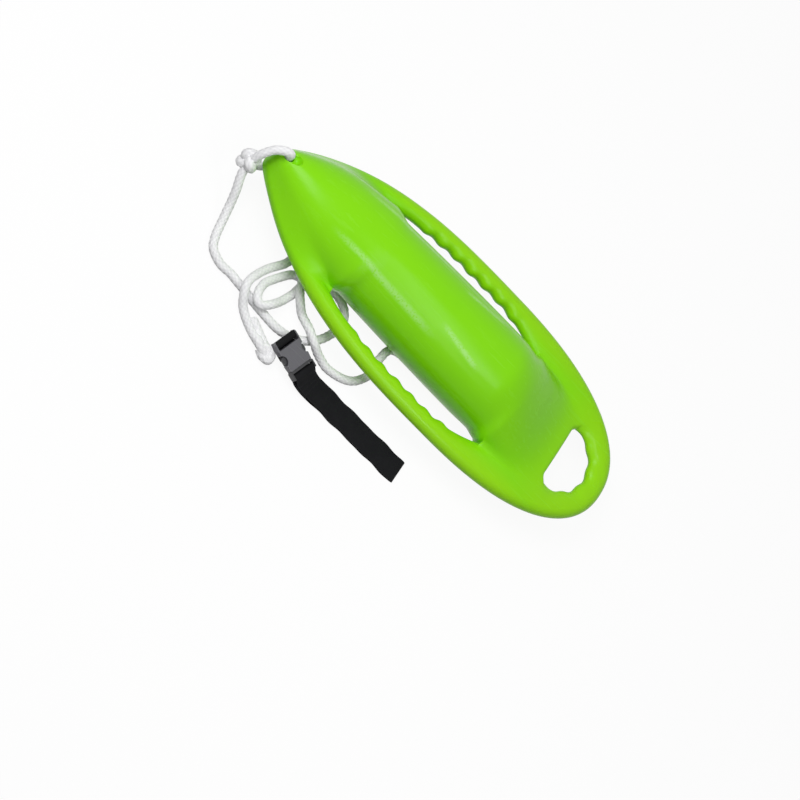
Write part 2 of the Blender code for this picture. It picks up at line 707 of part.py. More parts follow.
def cylinder(name, radius, bottom, top, centre, segments=32):
    shape = bmesh.new()
    bmesh.ops.create_cone(shape, cap_ends=True, segments=segments, radius1=radius, radius2=radius,
                          depth=top - bottom)
    bmesh.ops.translate(shape, verts=shape.verts, vec=(centre[0], centre[1], (top + bottom) / 2))
    data = bpy.data.meshes.new(name)
    shape.to_mesh(data)
    shape.free()
    return data


def block(name, x, y, z):
    """A box from its limits along each axis."""
    shape = bmesh.new()
    bmesh.ops.create_cube(shape, size=1.0)
    for vert in shape.verts:
        for axis, limits in enumerate((x, y, z)):
            vert.co[axis] = limits[0] if vert.co[axis] < 0 else limits[1]
    data = bpy.data.meshes.new(name)
    shape.to_mesh(data)
    shape.free()
    return data


def extruded(name, outlines, pivot=(0.0, 0.0)):
    """Closed outlines raised from their bottom to their top heights, about a pivot."""
    shape = bmesh.new()
    for outline, bottom, top in outlines:
        low = [shape.verts.new((x - pivot[0], y - pivot[1], bottom)) for x, y in outline]
        high = [shape.verts.new((x - pivot[0], y - pivot[1], top)) for x, y in outline]
        shape.faces.new(list(reversed(low)))
        shape.faces.new(high)
        for k in range(len(low)):
            after = (k + 1) % len(low)
            shape.faces.new((low[k], low[after], high[after], high[k]))
    bmesh.ops.recalc_face_normals(shape, faces=shape.faces)
    data = bpy.data.meshes.new(name)
    shape.to_mesh(data)
    shape.free()
    return data


def bevel(ob, width, segments=2):
    modifier = ob.modifiers.new("bevel", "BEVEL")
    modifier.width = width
    modifier.segments = segments
    modifier.limit_method = "ANGLE"


def tube_mesh(name, route, radius, cyclic=False):
    """A round tube along the points, as a closed mesh."""
    curve = bpy.data.curves.new(name, "CURVE")
    curve.dimensions = "3D"
    curve.bevel_depth = radius
    curve.bevel_resolution = 2
    curve.use_fill_caps = True
    spline = curve.splines.new("POLY")
    spline.points.add(len(route) - 1)
    for spot, place in zip(spline.points, route):
        spot.co = (*place, 1.0)
    spline.use_cyclic_u = cyclic
    ob = bpy.data.objects.new(name, curve)
    bpy.context.scene.collection.objects.link(ob)
    data = bpy.data.meshes.new_from_object(ob.evaluated_get(bpy.context.evaluated_depsgraph_get()))
    bpy.data.objects.remove(ob)
    shape = bmesh.new()
    shape.from_mesh(data)
    bmesh.ops.remove_doubles(shape, verts=shape.verts, dist=0.00001)
    shape.to_mesh(data)
    shape.free()
    return data


green = material("hull_green", (0.238, 0.716, 0.019), 0.42)
foam = material("foam_cream", (0.78, 0.70, 0.50), 0.85)
plug_green = material("plug_green", (0.19, 0.60, 0.020), 0.45)
rope_white = material("rope_white", (0.80, 0.80, 0.82), 0.80)
webbing_black = material("webbing_black", (0.012, 0.012, 0.013), 0.75)
buckle_grey = material("buckle_grey", (0.060, 0.058, 0.070), 0.32)

# Hull shell: moulded in one with its grips and hollow inside, with a rope hole through its nose
hull = part("hull_shell", can_half_mesh("hull_shell", FINE), green)
mirror(hull)
cavity = cutter("cavity", can_half_mesh("cavity", COARSE, WALL, False))
mirror(cavity)
cut(hull, cavity)
hole_place = world(0, ROPE_HOLE_STATION, 0)
rope_hole = cutter("rope_hole", cylinder("rope_hole", ROPE_HOLE_RADIUS, *ROPE_HOLE_LIMITS, hole_place, 24))
cut(hull, rope_hole)

# Foam core: fills the shell behind the solid nose
core = part("foam_core", can_half_mesh("foam_core", COARSE, WALL + FOAM_GAP, False), foam)
mirror(core)

# Plugs: pressed into the ports in the belly, their heads a little above the resting face
for name, (station, head, stem, stem_end) in (("fill_plug", FILL_PORT), ("vent_plug", VENT_PORT)):
    place = world(0, station, 0)
    seat = cutter(name + "_seat", cylinder(name + "_seat", head + FIT_GAP, SEAT_DEPTH, HEAD_SEAT, place))
    bore = cutter(name + "_bore",
                  cylinder(name + "_bore", stem + FIT_GAP, HEAD_SEAT / 2, stem_end + FIT_GAP, place))
    cut(hull, seat)
    cut(hull, bore)
    cut(core, bore)
    shoulder = HEAD_SEAT - FIT_GAP
    profile = [(0, stem_end), (stem - PLUG_CHAMFER, stem_end), (stem, stem_end - PLUG_CHAMFER),
               (stem, shoulder), (head, shoulder), (head, HEAD_RECESS + PLUG_CHAMFER),
               (head - PLUG_CHAMFER, HEAD_RECESS), (0, HEAD_RECESS)]
    data = bpy.data.meshes.new(name)
    data.from_pydata([(x, 0, z) for x, z in profile], [(k, k + 1) for k in range(len(profile) - 1)], [])
    plug = part(name, data, plug_green)
    plug.location = place
    turn = plug.modifiers.new("turn", "SCREW")
    turn.steps = 24
    turn.render_steps = 24
    turn.use_merge_vertices = True
    turn.merge_threshold = 0.00001

bpy.context.view_layer.update()
can_surface = BVHTree.FromObject(hull, bpy.context.evaluated_depsgraph_get())


def rest_against(route):
    """Move each point of a rope route that would press into the can out to its surface."""
    settled = []
    for point in route:
        for _ in range(6):
            near, _, _, distance = can_surface.find_nearest(point)
            if distance >= ROPE_CLEAR:
                break
            point = near + (point - near).normalized() * (ROPE_CLEAR + 0.0001)
        settled.append(Vector((point.x, point.y, max(point.z, ROPE_RADIUS))))
    return settled


def trefoil(centre, scale, turn):
    """A closed overhand-knot course about a centre."""
    points = []
    for k in range(KNOT_STEPS):
        t = 2 * math.pi * k / KNOT_STEPS
        spot = Vector((math.sin(t) + 2 * math.sin(2 * t), math.cos(t) - 2 * math.cos(2 * t),
                       -1.6 * math.sin(3 * t)))
        spot = Vector((spot.x * scale[0], spot.y * scale[1], spot.z * scale[2]))
        points.append(millimetres(centre) + turn @ spot)
    return points


def knot(name, centre, scale, turn):
    ob = part(name, tube_mesh(name, trefoil(centre, scale, turn), KNOT_TUBE, cyclic=True), rope_white)
    grown = cutter(name + "_space", ob.data)
    for target in (ob, grown):
        skin = target.modifiers.new("skin", "REMESH")
        skin.mode = "VOXEL"
        skin.voxel_size = KNOT_VOXEL
    swell = grown.modifiers.new("swell", "DISPLACE")
    swell.strength = KNOT_GAP
    swell.mid_level = 0.0
    return ob, grown


# Tow rope: its bight through the nose, the knot that closes the bight, and the long free run to
# the belt, which rests on the floor in loops and passes once round under the can
nose_turn = Euler(NOSE_KNOT_TURN).to_matrix()
nose_knot, nose_space = knot("nose_knot", NOSE_KNOT, NOSE_KNOT_SPREAD, nose_turn)
belt_turn = Euler((0, 0, BUCKLE_TURN)).to_matrix()
belt_knot, belt_space = knot("belt_knot", BELT_KNOT, BELT_KNOT_SPREAD, belt_turn)

loop_route = rest_against(smooth_route([millimetres(p) for p in NOSE_LOOP_ROUTE], 0.012, 0.008))
nose_loop = part("nose_loop", tube_mesh("nose_loop", loop_route, ROPE_RADIUS), rope_white)
cut(nose_loop, nose_space)

tow_points = STRAND_DOWN + STRAND_UNDER + INNER_LOOP + STRAND_RIGHT + STRAND_HIDDEN + OUTER_LOOP
tow_route = rest_against(smooth_route([millimetres(p) for p in tow_points], 0.040, 0.018, 0.070))
tow_rope = part("tow_rope", tube_mesh("tow_rope", tow_route, ROPE_RADIUS), rope_white)
cut(tow_rope, nose_space)
cut(tow_rope, belt_space)
gap, rope_length = least_gap(tow_route, ROPE_RADIUS)
print(f"tow rope: {len(tow_route)} points, {rope_length:.3f} m, least gap {gap * 1000:.2f} mm")
loop_gap, loop_length = least_gap(loop_route, ROPE_RADIUS)
print(f"nose loop: {len(loop_route)} points, {loop_length:.3f} m, least gap {loop_gap * 1000:.2f} mm")

# Buckle frame: an empty at the middle of the buckle's nose end carries all its parts
frame = bpy.data.objects.new("buckle_frame", None)
parts.objects.link(frame)
frame.location = world(BUCKLE_ORIGIN[0], BUCKLE_ORIGIN[1], 0)
frame.rotation_euler.z = BUCKLE_TURN


def both_sides(half):
    """A closed outline from its +X half, listed from the nose end to the belt end."""
    return half + [(-x, y) for x, y in reversed(half)]


# Buckle housing: the socket half, with a webbing bar, a side window each side and a guide slot
housing = part("buckle_housing",
               extruded("buckle_housing", [(both_sides(HOUSING_HALF), BUCKLE_BOTTOM, BUCKLE_TOP)]),
               buckle_grey, frame)
bevel(housing, HOUSING_BEVEL)
strap_width = (-STRAP_HALF_SPACE, STRAP_HALF_SPACE)
socket_width = (-SOCKET_HALF_WIDTH, SOCKET_HALF_WIDTH)
for name, x, y, z in (
        ("bar_front_space", strap_width, HOUSING_FRONT, (BELOW, ABOVE)),
        ("bar_above_space", strap_width, HOUSING_BAR, (BAR_TOP, ABOVE)),
        ("bar_below_space", strap_width, HOUSING_BAR, (BELOW, BAR_BOTTOM)),
        ("strap_slot", strap_width, HOUSING_SLOT, (BELOW, ABOVE)),
        ("socket", socket_width, SOCKET, SOCKET_HEIGHTS)):
    cut(housing, cutter(name, block(name, x, y, z), frame))
for name, side in (("window_left", 1), ("window_right", -1)):
    centre = (side * WINDOW_CENTRE[0], WINDOW_CENTRE[1])
    cut(housing, cutter(name, cylinder(name, WINDOW_RADIUS, BELOW, ABOVE, centre, 28), frame))

# Buckle insert: the plug half, with its guide tongue, the root of its arms and its webbing bar
insert = part("buckle_insert",
              extruded("buckle_insert", [(both_sides(INSERT_HALF), BUCKLE_BOTTOM, INSERT_TOP)]),
              buckle_grey, frame)
tongue = cutter("tongue", extruded("tongue", [(both_sides(TONGUE_HALF), ARM_BOTTOM, ARM_TOP)]), frame)
join = insert.modifiers.new("tongue", "BOOLEAN")
join.operation = "UNION"
join.solver = "EXACT"
join.object = tongue
for name, x, y, z in (
        ("insert_slot", strap_width, INSERT_SLOT, (BELOW, ABOVE)),
        ("insert_bar_above", strap_width, INSERT_BAR, (BAR_TOP, ABOVE)),
        ("insert_bar_below", strap_width, INSERT_BAR, (BELOW, BAR_BOTTOM)),
        ("insert_bar_behind", strap_width, INSERT_BEHIND, (BELOW, ABOVE)),
        ("insert_underside", strap_width, INSERT_FRONT, (BELOW, INSERT_UNDERSIDE))):
    cut(insert, cutter(name, block(name, x, y, z), frame))

# Latch arms: each sprung at its root, its head filling a side window until it is pressed
for name, side in (("latch_arm_left", 1), ("latch_arm_right", -1)):
    pivot = (side * ARM_PIVOT[0], ARM_PIVOT[1])
    outline = [(side * x, y) for x, y in ARM_HALF]
    arm = part(name, extruded(name, [(outline, ARM_BOTTOM, ARM_TOP)], pivot), buckle_grey, frame)
    arm.location = (*pivot, 0)
    bevel(arm, ARM_BEVEL, 1)

# Belt webbing: one length, sewn back on itself round each bar, lying as a flat double loop
strip = bmesh.new()
edges = []
along_buckle = Vector((-math.sin(BUCKLE_TURN), math.cos(BUCKLE_TURN), 0))
across_buckle = Vector((math.cos(BUCKLE_TURN), math.sin(BUCKLE_TURN), 0))
start = world(*BUCKLE_ORIGIN, 0)
turn_point = start + along_buckle * BELT_TURN_START
belt_course = smooth_route([Vector((0, t / 1000, z / 1000)) for t, z in BELT_ROUTE], 0.012, 0.0024, 0.012)
for spot in belt_course:
    beyond = max(spot.y - BELT_TURN_START, 0.0)
    centre = start + along_buckle * min(spot.y, BELT_TURN_START) + Vector((0, beyond, 0))
    blend = smooth(beyond / BELT_SWING)
    centre.x = lerp(centre.x, BELT_CENTRE_X, smooth(beyond / BELT_SHIFT))
    centre.z = spot.z
    across = across_buckle.lerp(Vector((1, 0, 0)), blend).normalized() * (BELT_WIDTH / 2)
    edges.append((strip.verts.new(centre + across), strip.verts.new(centre - across)))
for (a, b), (c, d) in zip(edges, edges[1:]):
    strip.faces.new((a, b, d, c))
data = bpy.data.meshes.new("belt_webbing")
strip.to_mesh(data)
strip.free()
belt = part("belt_webbing", data, webbing_black)
weave = belt.modifiers.new("thickness", "SOLIDIFY")
weave.thickness = BELT_THICK
weave.offset = 0.0
belt_length = sum((b - a).length for a, b in zip(belt_course, belt_course[1:]))
print(f"belt webbing: {len(belt_course)} stations, {belt_length:.3f} m")
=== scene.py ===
import math

import bmesh
import bpy
import numpy as np
from mathutils import Euler, Matrix, Vector
from mathutils.bvhtree import BVHTree


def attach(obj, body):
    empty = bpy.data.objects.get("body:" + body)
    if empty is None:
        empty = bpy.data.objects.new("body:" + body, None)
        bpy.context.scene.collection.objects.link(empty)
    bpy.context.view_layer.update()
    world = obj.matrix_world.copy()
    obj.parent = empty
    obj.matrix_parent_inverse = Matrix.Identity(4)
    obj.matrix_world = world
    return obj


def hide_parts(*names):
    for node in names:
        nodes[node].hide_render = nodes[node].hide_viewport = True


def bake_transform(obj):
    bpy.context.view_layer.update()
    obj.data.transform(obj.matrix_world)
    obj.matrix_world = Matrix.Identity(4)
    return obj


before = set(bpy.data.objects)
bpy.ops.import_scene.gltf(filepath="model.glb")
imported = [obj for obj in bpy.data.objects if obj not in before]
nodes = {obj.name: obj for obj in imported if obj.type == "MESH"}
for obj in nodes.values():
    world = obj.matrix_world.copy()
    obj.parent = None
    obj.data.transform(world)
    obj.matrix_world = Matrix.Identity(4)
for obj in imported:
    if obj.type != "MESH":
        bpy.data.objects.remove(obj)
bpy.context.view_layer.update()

# Camera: stands at the can's left front and looks down on it from about four metres, rolled
# so that the can runs from the upper left to the lower right of the picture.
CAMERA_PLACE = Vector((2.0217, -1.2671, 3.2899))
CAMERA_RIGHT = Vector((-0.4907, 0.6606, 0.5682))
CAMERA_UP = Vector((-0.7101, -0.6811, 0.1786))
CAMERA_AHEAD = Vector((-0.5049, 0.3158, -0.8033))
FOCAL_PIXELS = 2689.0
CAN_PIXEL = (440.8, 328.1)
PICTURE = 800

to_middle = CAMERA_AHEAD.copy()
to_middle += CAMERA_RIGHT * ((PICTURE / 2 - CAN_PIXEL[0]) / FOCAL_PIXELS)
to_middle -= CAMERA_UP * ((PICTURE / 2 - CAN_PIXEL[1]) / FOCAL_PIXELS)
to_middle.normalize()
picture_up = (CAMERA_UP - to_middle * CAMERA_UP.dot(to_middle)).normalized()
picture_right = to_middle.cross(picture_up)
lens = bpy.data.cameras.new("camera")
lens.sensor_width = 36.0
lens.lens = FOCAL_PIXELS * lens.sensor_width / PICTURE
camera = bpy.data.objects.new("camera", lens)
bpy.context.scene.collection.objects.link(camera)
turned = Matrix((picture_right, picture_up, -to_middle)).transposed().to_4x4()
camera.matrix_world = Matrix.Translation(CAMERA_PLACE) @ turned
bpy.context.scene.camera = camera
bpy.context.scene.view_settings.view_transform = "Standard"


# Floor and light: a plain pale studio floor under two wide soft lamps, two narrow strip lamps
# and an even sky. The floor is bright where nothing shades it and keeps the can's soft shadow.
WHITE = (1.0, 1.0, 1.0, 1.0)
SKY_STRENGTH = 0.25
FLOOR_HALF = 4
FLOOR_DROP = 0.0003
FLOOR_UNDER_LAMPS = (0.35, 0.35, 0.35, 1.0)
FLOOR_SEEN = (0.92, 0.92, 0.92, 1.0)
FLOOR_GLOW = 0.93


def link(source, target):
    source.id_data.links.new(source, target)


def filled(node, inputs):
    """Give each of the node's named inputs its value, or link it to another node's output."""
    for name, value in inputs.items():
        if isinstance(value, bpy.types.NodeSocket):
            link(value, node.inputs[name])
        else:
            node.inputs[name].default_value = value
    return node


def placed(tree, kind, inputs, **settings):
    """A new shader node with its settings made and its inputs filled."""
    node = tree.nodes.new("ShaderNode" + kind)
    for name, value in settings.items():
        setattr(node, name, value)
    return filled(node, inputs)


def seen_rays(tree):
    """1 for camera, glossy and transmission rays, so that gloss shows the same background."""
    rays = placed(tree, "LightPath", {}).outputs
    total = rays["Is Camera Ray"]
    for name in ("Is Glossy Ray", "Is Transmission Ray"):
        total = placed(tree, "Math", {0: total, 1: rays[name]}, operation="MAXIMUM").outputs[0]
    return total


world = bpy.data.worlds.new("studio")
bpy.context.scene.world = world
world.use_nodes = True
sky = world.node_tree
sky_light = filled(sky.nodes["Background"], {"Color": WHITE, "Strength": SKY_STRENGTH})
backdrop = placed(sky, "Background", {"Color": WHITE, "Strength": 1.0})
either = placed(sky, "MixShader", {0: seen_rays(sky), 1: sky_light.outputs[0], 2: backdrop.outputs[0]})
link(either.outputs[0], sky.nodes["World Output"].inputs["Surface"])

floor_mesh = bpy.data.meshes.new("floor")
floor_mesh.from_pydata([(x * FLOOR_HALF, y * FLOOR_HALF, -FLOOR_DROP)
                        for x, y in ((-1, -1), (1, -1), (1, 1), (-1, 1))], [], [(0, 1, 2, 3)])
floor = bpy.data.objects.new("floor", floor_mesh)
bpy.context.scene.collection.objects.link(floor)
floor_paint = bpy.data.materials.new("floor_paper")
floor_paint.use_nodes = True
paper = floor_paint.node_tree
seen = seen_rays(paper)
paper_tone = placed(paper, "Mix", {"A": FLOOR_UNDER_LAMPS, "B": FLOOR_SEEN, "Factor": seen},
                    data_type="RGBA")
lit = filled(paper.nodes["Principled BSDF"], {"Base Color": paper_tone.outputs["Result"],
                                              "Roughness": 0.9})
share = placed(paper, "Math", {0: seen, 1: FLOOR_GLOW}, operation="MULTIPLY")
glow = placed(paper, "Emission", {})
blend = placed(paper, "MixShader", {0: share.outputs[0], 1: lit.outputs[0], 2: glow.outputs[0]})
link(blend.outputs[0], paper.nodes["Material Output"].inputs["Surface"])
floor_mesh.materials.append(floor_paint)


def soft_lamp(name, start, end, wide, power, colours=True):
    """A lamp panel from one end to the other, turned to face the can's middle. Without colours it
    only shows as a highlight in what is glossy."""
    start, end = Vector(start), Vector(end)
    middle = (start + end) / 2
    along = (end - start).normalized()
    away = (middle - along * middle.dot(along)).normalized()
    lamp = bpy.data.lights.new(name, "AREA")
    lamp.shape = "RECTANGLE"
    lamp.size = (end - start).length
    lamp.size_y = wide
    lamp.energy = power
    ob = bpy.data.objects.new(name, lamp)
    facing = Matrix((along, away.cross(along), away)).transposed().to_4x4()
    ob.matrix_world = Matrix.Translation(middle) @ facing
    ob.visible_diffuse = colours
    bpy.context.scene.collection.objects.link(ob)


soft_lamp("side_lamp", (-0.08, 0.08, 1.32), (0.78, 0.39, 1.00), 0.30, 3.6)
soft_lamp("strip_lamp", (0.66, 0.02, 1.28), (1.12, 0.43, 0.78), 0.03, 1.6, False)
soft_lamp("short_strip_lamp", (0.45, 0.38, 1.30), (0.82, 0.50, 1.09), 0.03, 0.8, False)
soft_lamp("top_lamp", (-0.35, -1.35, 1.95), (0.80, -1.35, 1.95), 1.2, 33.0)


# Hull: the can itself, blow moulded in one piece from lime-green polyethylene with its side and
# rear grips. The colour goes right through; the skin is satin with a faint orange peel and fine
# rubbed marks where it has been laid down and carried.
CAN_LENGTH = 0.747
CAN_HALF_WIDTH = 0.1432
POD_RADIUS = 0.0785
POD_TAPER = 0.0055
POD_TAPER_LENGTH = 0.240
POD_TAPER_POWER = 1.6
POD_AXIS_Z = 0.0735
RIM_Z = 0.0625
RIM_HALF_HEIGHT = 0.0139
RIM_BAND = 0.0284
RIM_THICKENS = (-0.006, 0.010)
NOSE_RISE = 0.003
NOSE_RISE_ENDS = (0.020, 0.100)

# Plan outline: stations are measured back from the nose tip
WIDEST_STATION = 0.454
NOSE_CAP = 0.006
NOSE_BLUNT = 0.08
NOSE_HALF_WIDTH = 0.0175
NOSE_POWERS = (2.97, 1.09)
TAIL_POWERS = (2.34, 2.23)
PAST_TAIL = 0.2
HALVINGS = 40

# Grip slots, side grips, rear grip hole and rope hole
SLOT_START = 0.201
SLOT_END = 0.527
SLOT_FLARE = 0.0075
SLOT_FLARE_LENGTH = 0.020
GRIP_WIDEST_SHARE = 0.56
GRIP_FRONT_EXTRA = 0.0035
GRIP_FRONT_LENGTH = 0.066
GRIP_REAR_EXTRA = 0.0235
GRIP_REAR_START = 0.430
GRIP_REAR_POWER = 1.6
GRIP_SLIMMER = 0.0015
GRIP_SLIMS = (SLOT_START, SLOT_START + 0.020)
GRIP_FILLS = (0.340, 0.360)
SCALLOP_FIRST = 0.267
SCALLOP_PITCH = 0.032
SCALLOP_COUNT = 7
SCALLOP_DEPTH = 0.0042
HOLE_EDGE = 0.647
HOLE_CENTRE = 0.655
HOLE_RADIUS = 0.0565
HOLE_SCALLOP_DEPTH = 0.0036
HOLE_SCALLOP_STEP = math.radians(34)
ROPE_HOLE_STATION = 0.017
ROPE_HOLE_RADIUS = 0.0085

# Pod profile along the can; above and below the axis, its height at the nose tip and its growth
NOSE_POD_LENGTH = 0.275
NOSE_POD_POWER = 2.3
NOSE_POD_ABOVE = (0.020, 0.60)
NOSE_POD_BELOW = (0.011, 1.3)
NOSE_POD_SHARES = (0.80, 0.69)
RIM_PARTS = (0.070, 0.185)
POD_FALL = (0.470, 0.640)
WEB_HALF_HEIGHT = 0.0135
WEB_HALF_WIDTH = 0.086
CHINE_DEPTH = 0.0070
CHINE_ANGLE = math.radians(58)
CHINE_SPREAD = math.radians(26)
CHINE_START = (0.215, 0.265)
CHINE_END = (0.490, 0.550)

# Angles round the pod and the rim at which their skins end, and the stations between which
# they change
POD_TOP_ANGLE = math.radians(10)
POD_PLATE_ANGLE = math.radians(11)
POCKET_ANGLE = math.radians(-4)
POCKET_SHALLOWS = (0.250, 0.450)
RIM_CLEARS = (0.100, 0.205)
SCOOP_START = (0.166, 0.194)
SCOOP_END = (0.530, 0.590)
POD_UNDER_ANGLE = math.radians(15)
POD_UNDER_EXTRA = math.radians(18)
RIM_INNER_ANGLE = math.radians(125)
RIM_SCOOP_ANGLE = math.radians(136)
RIM_POCKET_ANGLE = math.radians(155)
NOSE_POD_ANGLE = math.radians(32)
NOSE_RIM_ANGLE = math.radians(38)
WEB_ANGLE = math.radians(58)
FILLET_FULLNESS = 0.9
HOLE_CORNER = (0.0540, 0.6520)
HOLE_CORNER_ANGLE = math.radians(82)
HOLE_LIP = 0.008
SLOT_LIP = 0.004

# How finely the form is divided, across the can and along it
POD_STEPS = 9
FILLET_STEPS = 4
RIM_STEPS = 8
WALL_STEPS = 6
NOSE_STATIONS = [0.0, 0.002, 0.005, 0.009, 0.014, 0.020, 0.027, 0.036, 0.047, 0.060, 0.075, 0.092,
                 0.110, 0.130, 0.147, 0.160, 0.170, 0.179, 0.187, 0.194]
SLOT_END_STEPS = [0.0, 0.0028, 0.0060, 0.0105, 0.017, 0.025, 0.036]
GRIP_STEP = SCALLOP_PITCH / 8
TAIL_STEPS = 12
HOLE_ANGLES = [80, 74, 68] + [4.25 * k for k in range(15, -1, -1)]


def smooth(t):
    t = min(max(t, 0.0), 1.0)
    return t * t * (3 - 2 * t)


def between(s, limits):
    """0 before the limits, 1 after them, with a smooth rise from one to the other."""
    return smooth((s - limits[0]) / (limits[1] - limits[0]))


def lerp(a, b, t):
    return a + (b - a) * t


def outline_half_width(s):
    if s < NOSE_CAP:
        return NOSE_HALF_WIDTH * math.sqrt(max(1 - ((NOSE_CAP - s) / NOSE_CAP) ** 2, NOSE_BLUNT))
    if s < WIDEST_STATION:
        u = (WIDEST_STATION - s) / (WIDEST_STATION - NOSE_CAP)
        rise = (1 - u ** NOSE_POWERS[0]) ** (1 / NOSE_POWERS[1])
        return NOSE_HALF_WIDTH + (CAN_HALF_WIDTH - NOSE_HALF_WIDTH) * rise
    u = min((s - WIDEST_STATION) / (CAN_LENGTH - WIDEST_STATION), 1.0)
    return CAN_HALF_WIDTH * (1 - u ** TAIL_POWERS[0]) ** (1 / TAIL_POWERS[1])


def tail_outline(angle):
    """Point of the plan outline seen from the rear hole's centre at an angle from the can's axis."""
    near, far = 0.0, PAST_TAIL
    for _ in range(HALVINGS):
        middle = (near + far) / 2
        x, s = middle * math.sin(angle), HOLE_CENTRE + middle * math.cos(angle)
        inside = s < CAN_LENGTH and x < outline_half_width(s)
        near, far = (middle, far) if inside else (near, middle)
    return near * math.sin(angle), HOLE_CENTRE + near * math.cos(angle)


def rim_height(s):
    return RIM_Z + NOSE_RISE * (1 - between(s, NOSE_RISE_ENDS))


def flank(s):
    """0 at the nose, where the pod runs out to the edge, 1 where the rim stands clear of it."""
    return between(s, RIM_PARTS)


def pod_radius(s):
    """The pod tapers a little from its thickest place towards the nose."""
    away = max(WIDEST_STATION - s, 0.0) / POD_TAPER_LENGTH
    return POD_RADIUS - POD_TAPER * away ** POD_TAPER_POWER


def pod_fall(s):
    """0 along the pod, 1 where it has run out into the flat web in front of the rear hole."""
    return between(s, POD_FALL)


def pod_reach(s, up):
    """Height of the pod above its axis, or depth below it, at a station."""
    if s < NOSE_POD_LENGTH:
        tip, growth = NOSE_POD_ABOVE if up > 0 else NOSE_POD_BELOW
        rise = (1 - (1 - s / NOSE_POD_LENGTH) ** NOSE_POD_POWER) ** growth
        return tip + (pod_radius(s) - tip) * rise
    return lerp(pod_radius(s), WEB_HALF_HEIGHT, pod_fall(s))


def web_spread(s):
    """0 at the slots' rear ends, 1 at the rear hole, where the web is broad and flat."""
    return between(s, (SLOT_END, HOLE_EDGE - HOLE_LIP))


def pod_half_width(s):
    if s < SLOT_START:
        return outline_half_width(s) * lerp(*NOSE_POD_SHARES, flank(s))
    if s < SLOT_END:
        flare = sum(1 - smooth(away / SLOT_FLARE_LENGTH) for away in (s - SLOT_START, SLOT_END - s))
        return pod_radius(s) + SLOT_FLARE * flare
    return lerp(pod_radius(s) + SLOT_FLARE, WEB_HALF_WIDTH, web_spread(s))


def grip_band(s):
    """Width of the side grip from its outer edge to its slot, without the finger scallops."""
    front = GRIP_FRONT_EXTRA * (1 - smooth((s - SLOT_START) / GRIP_FRONT_LENGTH))
    widened = max((s - GRIP_REAR_START) / (SLOT_END - GRIP_REAR_START), 0.0) ** GRIP_REAR_POWER
    slimmer = GRIP_SLIMMER * (between(s, GRIP_SLIMS) - between(s, GRIP_FILLS))
    return RIM_BAND + front + GRIP_REAR_EXTRA * widened - slimmer


def grip_scallop(s):
    last = SCALLOP_FIRST + SCALLOP_PITCH * (SCALLOP_COUNT - 1)
    if not SCALLOP_FIRST - SCALLOP_PITCH / 2 < s < last + SCALLOP_PITCH / 2:
        return 0.0
    return SCALLOP_DEPTH * 0.5 * (1 + math.cos(2 * math.pi * (s - SCALLOP_FIRST) / SCALLOP_PITCH))


def hole_scallop(angle):
    if abs(angle) > 2 * HOLE_SCALLOP_STEP:
        return 0.0
    return HOLE_SCALLOP_DEPTH * 0.5 * (1 - math.cos(2 * math.pi * angle / HOLE_SCALLOP_STEP))


def slot_stations():
    stations = [SLOT_START + step for step in SLOT_END_STEPS]
    ends = [SLOT_END - step for step in reversed(SLOT_END_STEPS)]
    start = SCALLOP_FIRST - SCALLOP_PITCH / 4
    room = 0.4 * GRIP_STEP
    while start < ends[0] - room:
        if start > stations[-1] + room:
            stations.append(start)
        start += GRIP_STEP
    return stations + ends


def make_row(kind, centre, pod_width, outer, inner, scallop=0.0):
    """One crossing of the can: the pod on the left, the rim or grip band from outer to inner."""
    across = Vector(inner) - Vector(outer)
    return {"centre": centre, "pod": pod_width, "outer": Vector(outer), "band": across.length,
            "inward": across.normalized(), "scallop": scallop, "kind": kind}


def can_rows():
    rows = []
    for kind, stations in (("nose", NOSE_STATIONS), ("slot", slot_stations())):
        for s in stations:
            w = outline_half_width(s)
            band = min(grip_band(s), GRIP_WIDEST_SHARE * w)
            rows.append(make_row(kind, s, pod_half_width(s), (w, s), (w - band, s), grip_scallop(s)))
    corner_outer = tail_outline(HOLE_CORNER_ANGLE)
    slot_inner = Vector((outline_half_width(SLOT_END) - grip_band(SLOT_END), SLOT_END))
    for k in range(1, TAIL_STEPS + 1):
        t = k / TAIL_STEPS
        s = lerp(SLOT_END, HOLE_EDGE - HOLE_LIP, t)
        outer_s = lerp(SLOT_END, corner_outer[1], t)
        outer = (outline_half_width(outer_s), outer_s)
        inner = slot_inner.lerp(Vector(HOLE_CORNER), t)
        rows.append(make_row("tail", s, pod_half_width(s), outer, inner))
    for angle in map(math.radians, HOLE_ANGLES):
        radius = HOLE_RADIUS - hole_scallop(angle)
        inner = (radius * math.sin(angle), HOLE_CENTRE + radius * math.cos(angle))
        rows.append(make_row("hole", 0.0, 0.0, tail_outline(angle), inner))
    return rows


def chine(s, angle):
    """How far the belly's sides are drawn in from round, which leaves room for rope by the keel."""
    along = between(s, CHINE_START) * (1 - between(s, CHINE_END))
    return CHINE_DEPTH * along * (1 - smooth(abs(angle + CHINE_ANGLE) / CHINE_SPREAD))


def pod_point(s, half_width, angle):
    reach = pod_reach(s, math.sin(angle))
    axis_z = lerp(POD_AXIS_Z, RIM_Z, pod_fall(s))
    drawn = 1 - chine(s, angle) / POD_RADIUS
    return Vector((half_width * math.cos(angle) * drawn, s, axis_z + reach * math.sin(angle) * drawn))


def rim_point(row, angle):
    band = row["band"]
    edge = min(RIM_BAND, band) / 2
    if math.cos(angle) > 0:
        inwards = edge * (1 - math.cos(angle))
    else:
        inwards = edge - (band - edge + row["scallop"]) * math.cos(angle)
    x, s = row["outer"] + row["inward"] * inwards
    thick = RIM_HALF_HEIGHT * math.sqrt(between(row["outer"][1], RIM_THICKENS))
    return Vector((x, s, rim_height(s) + thick * math.sin(angle)))


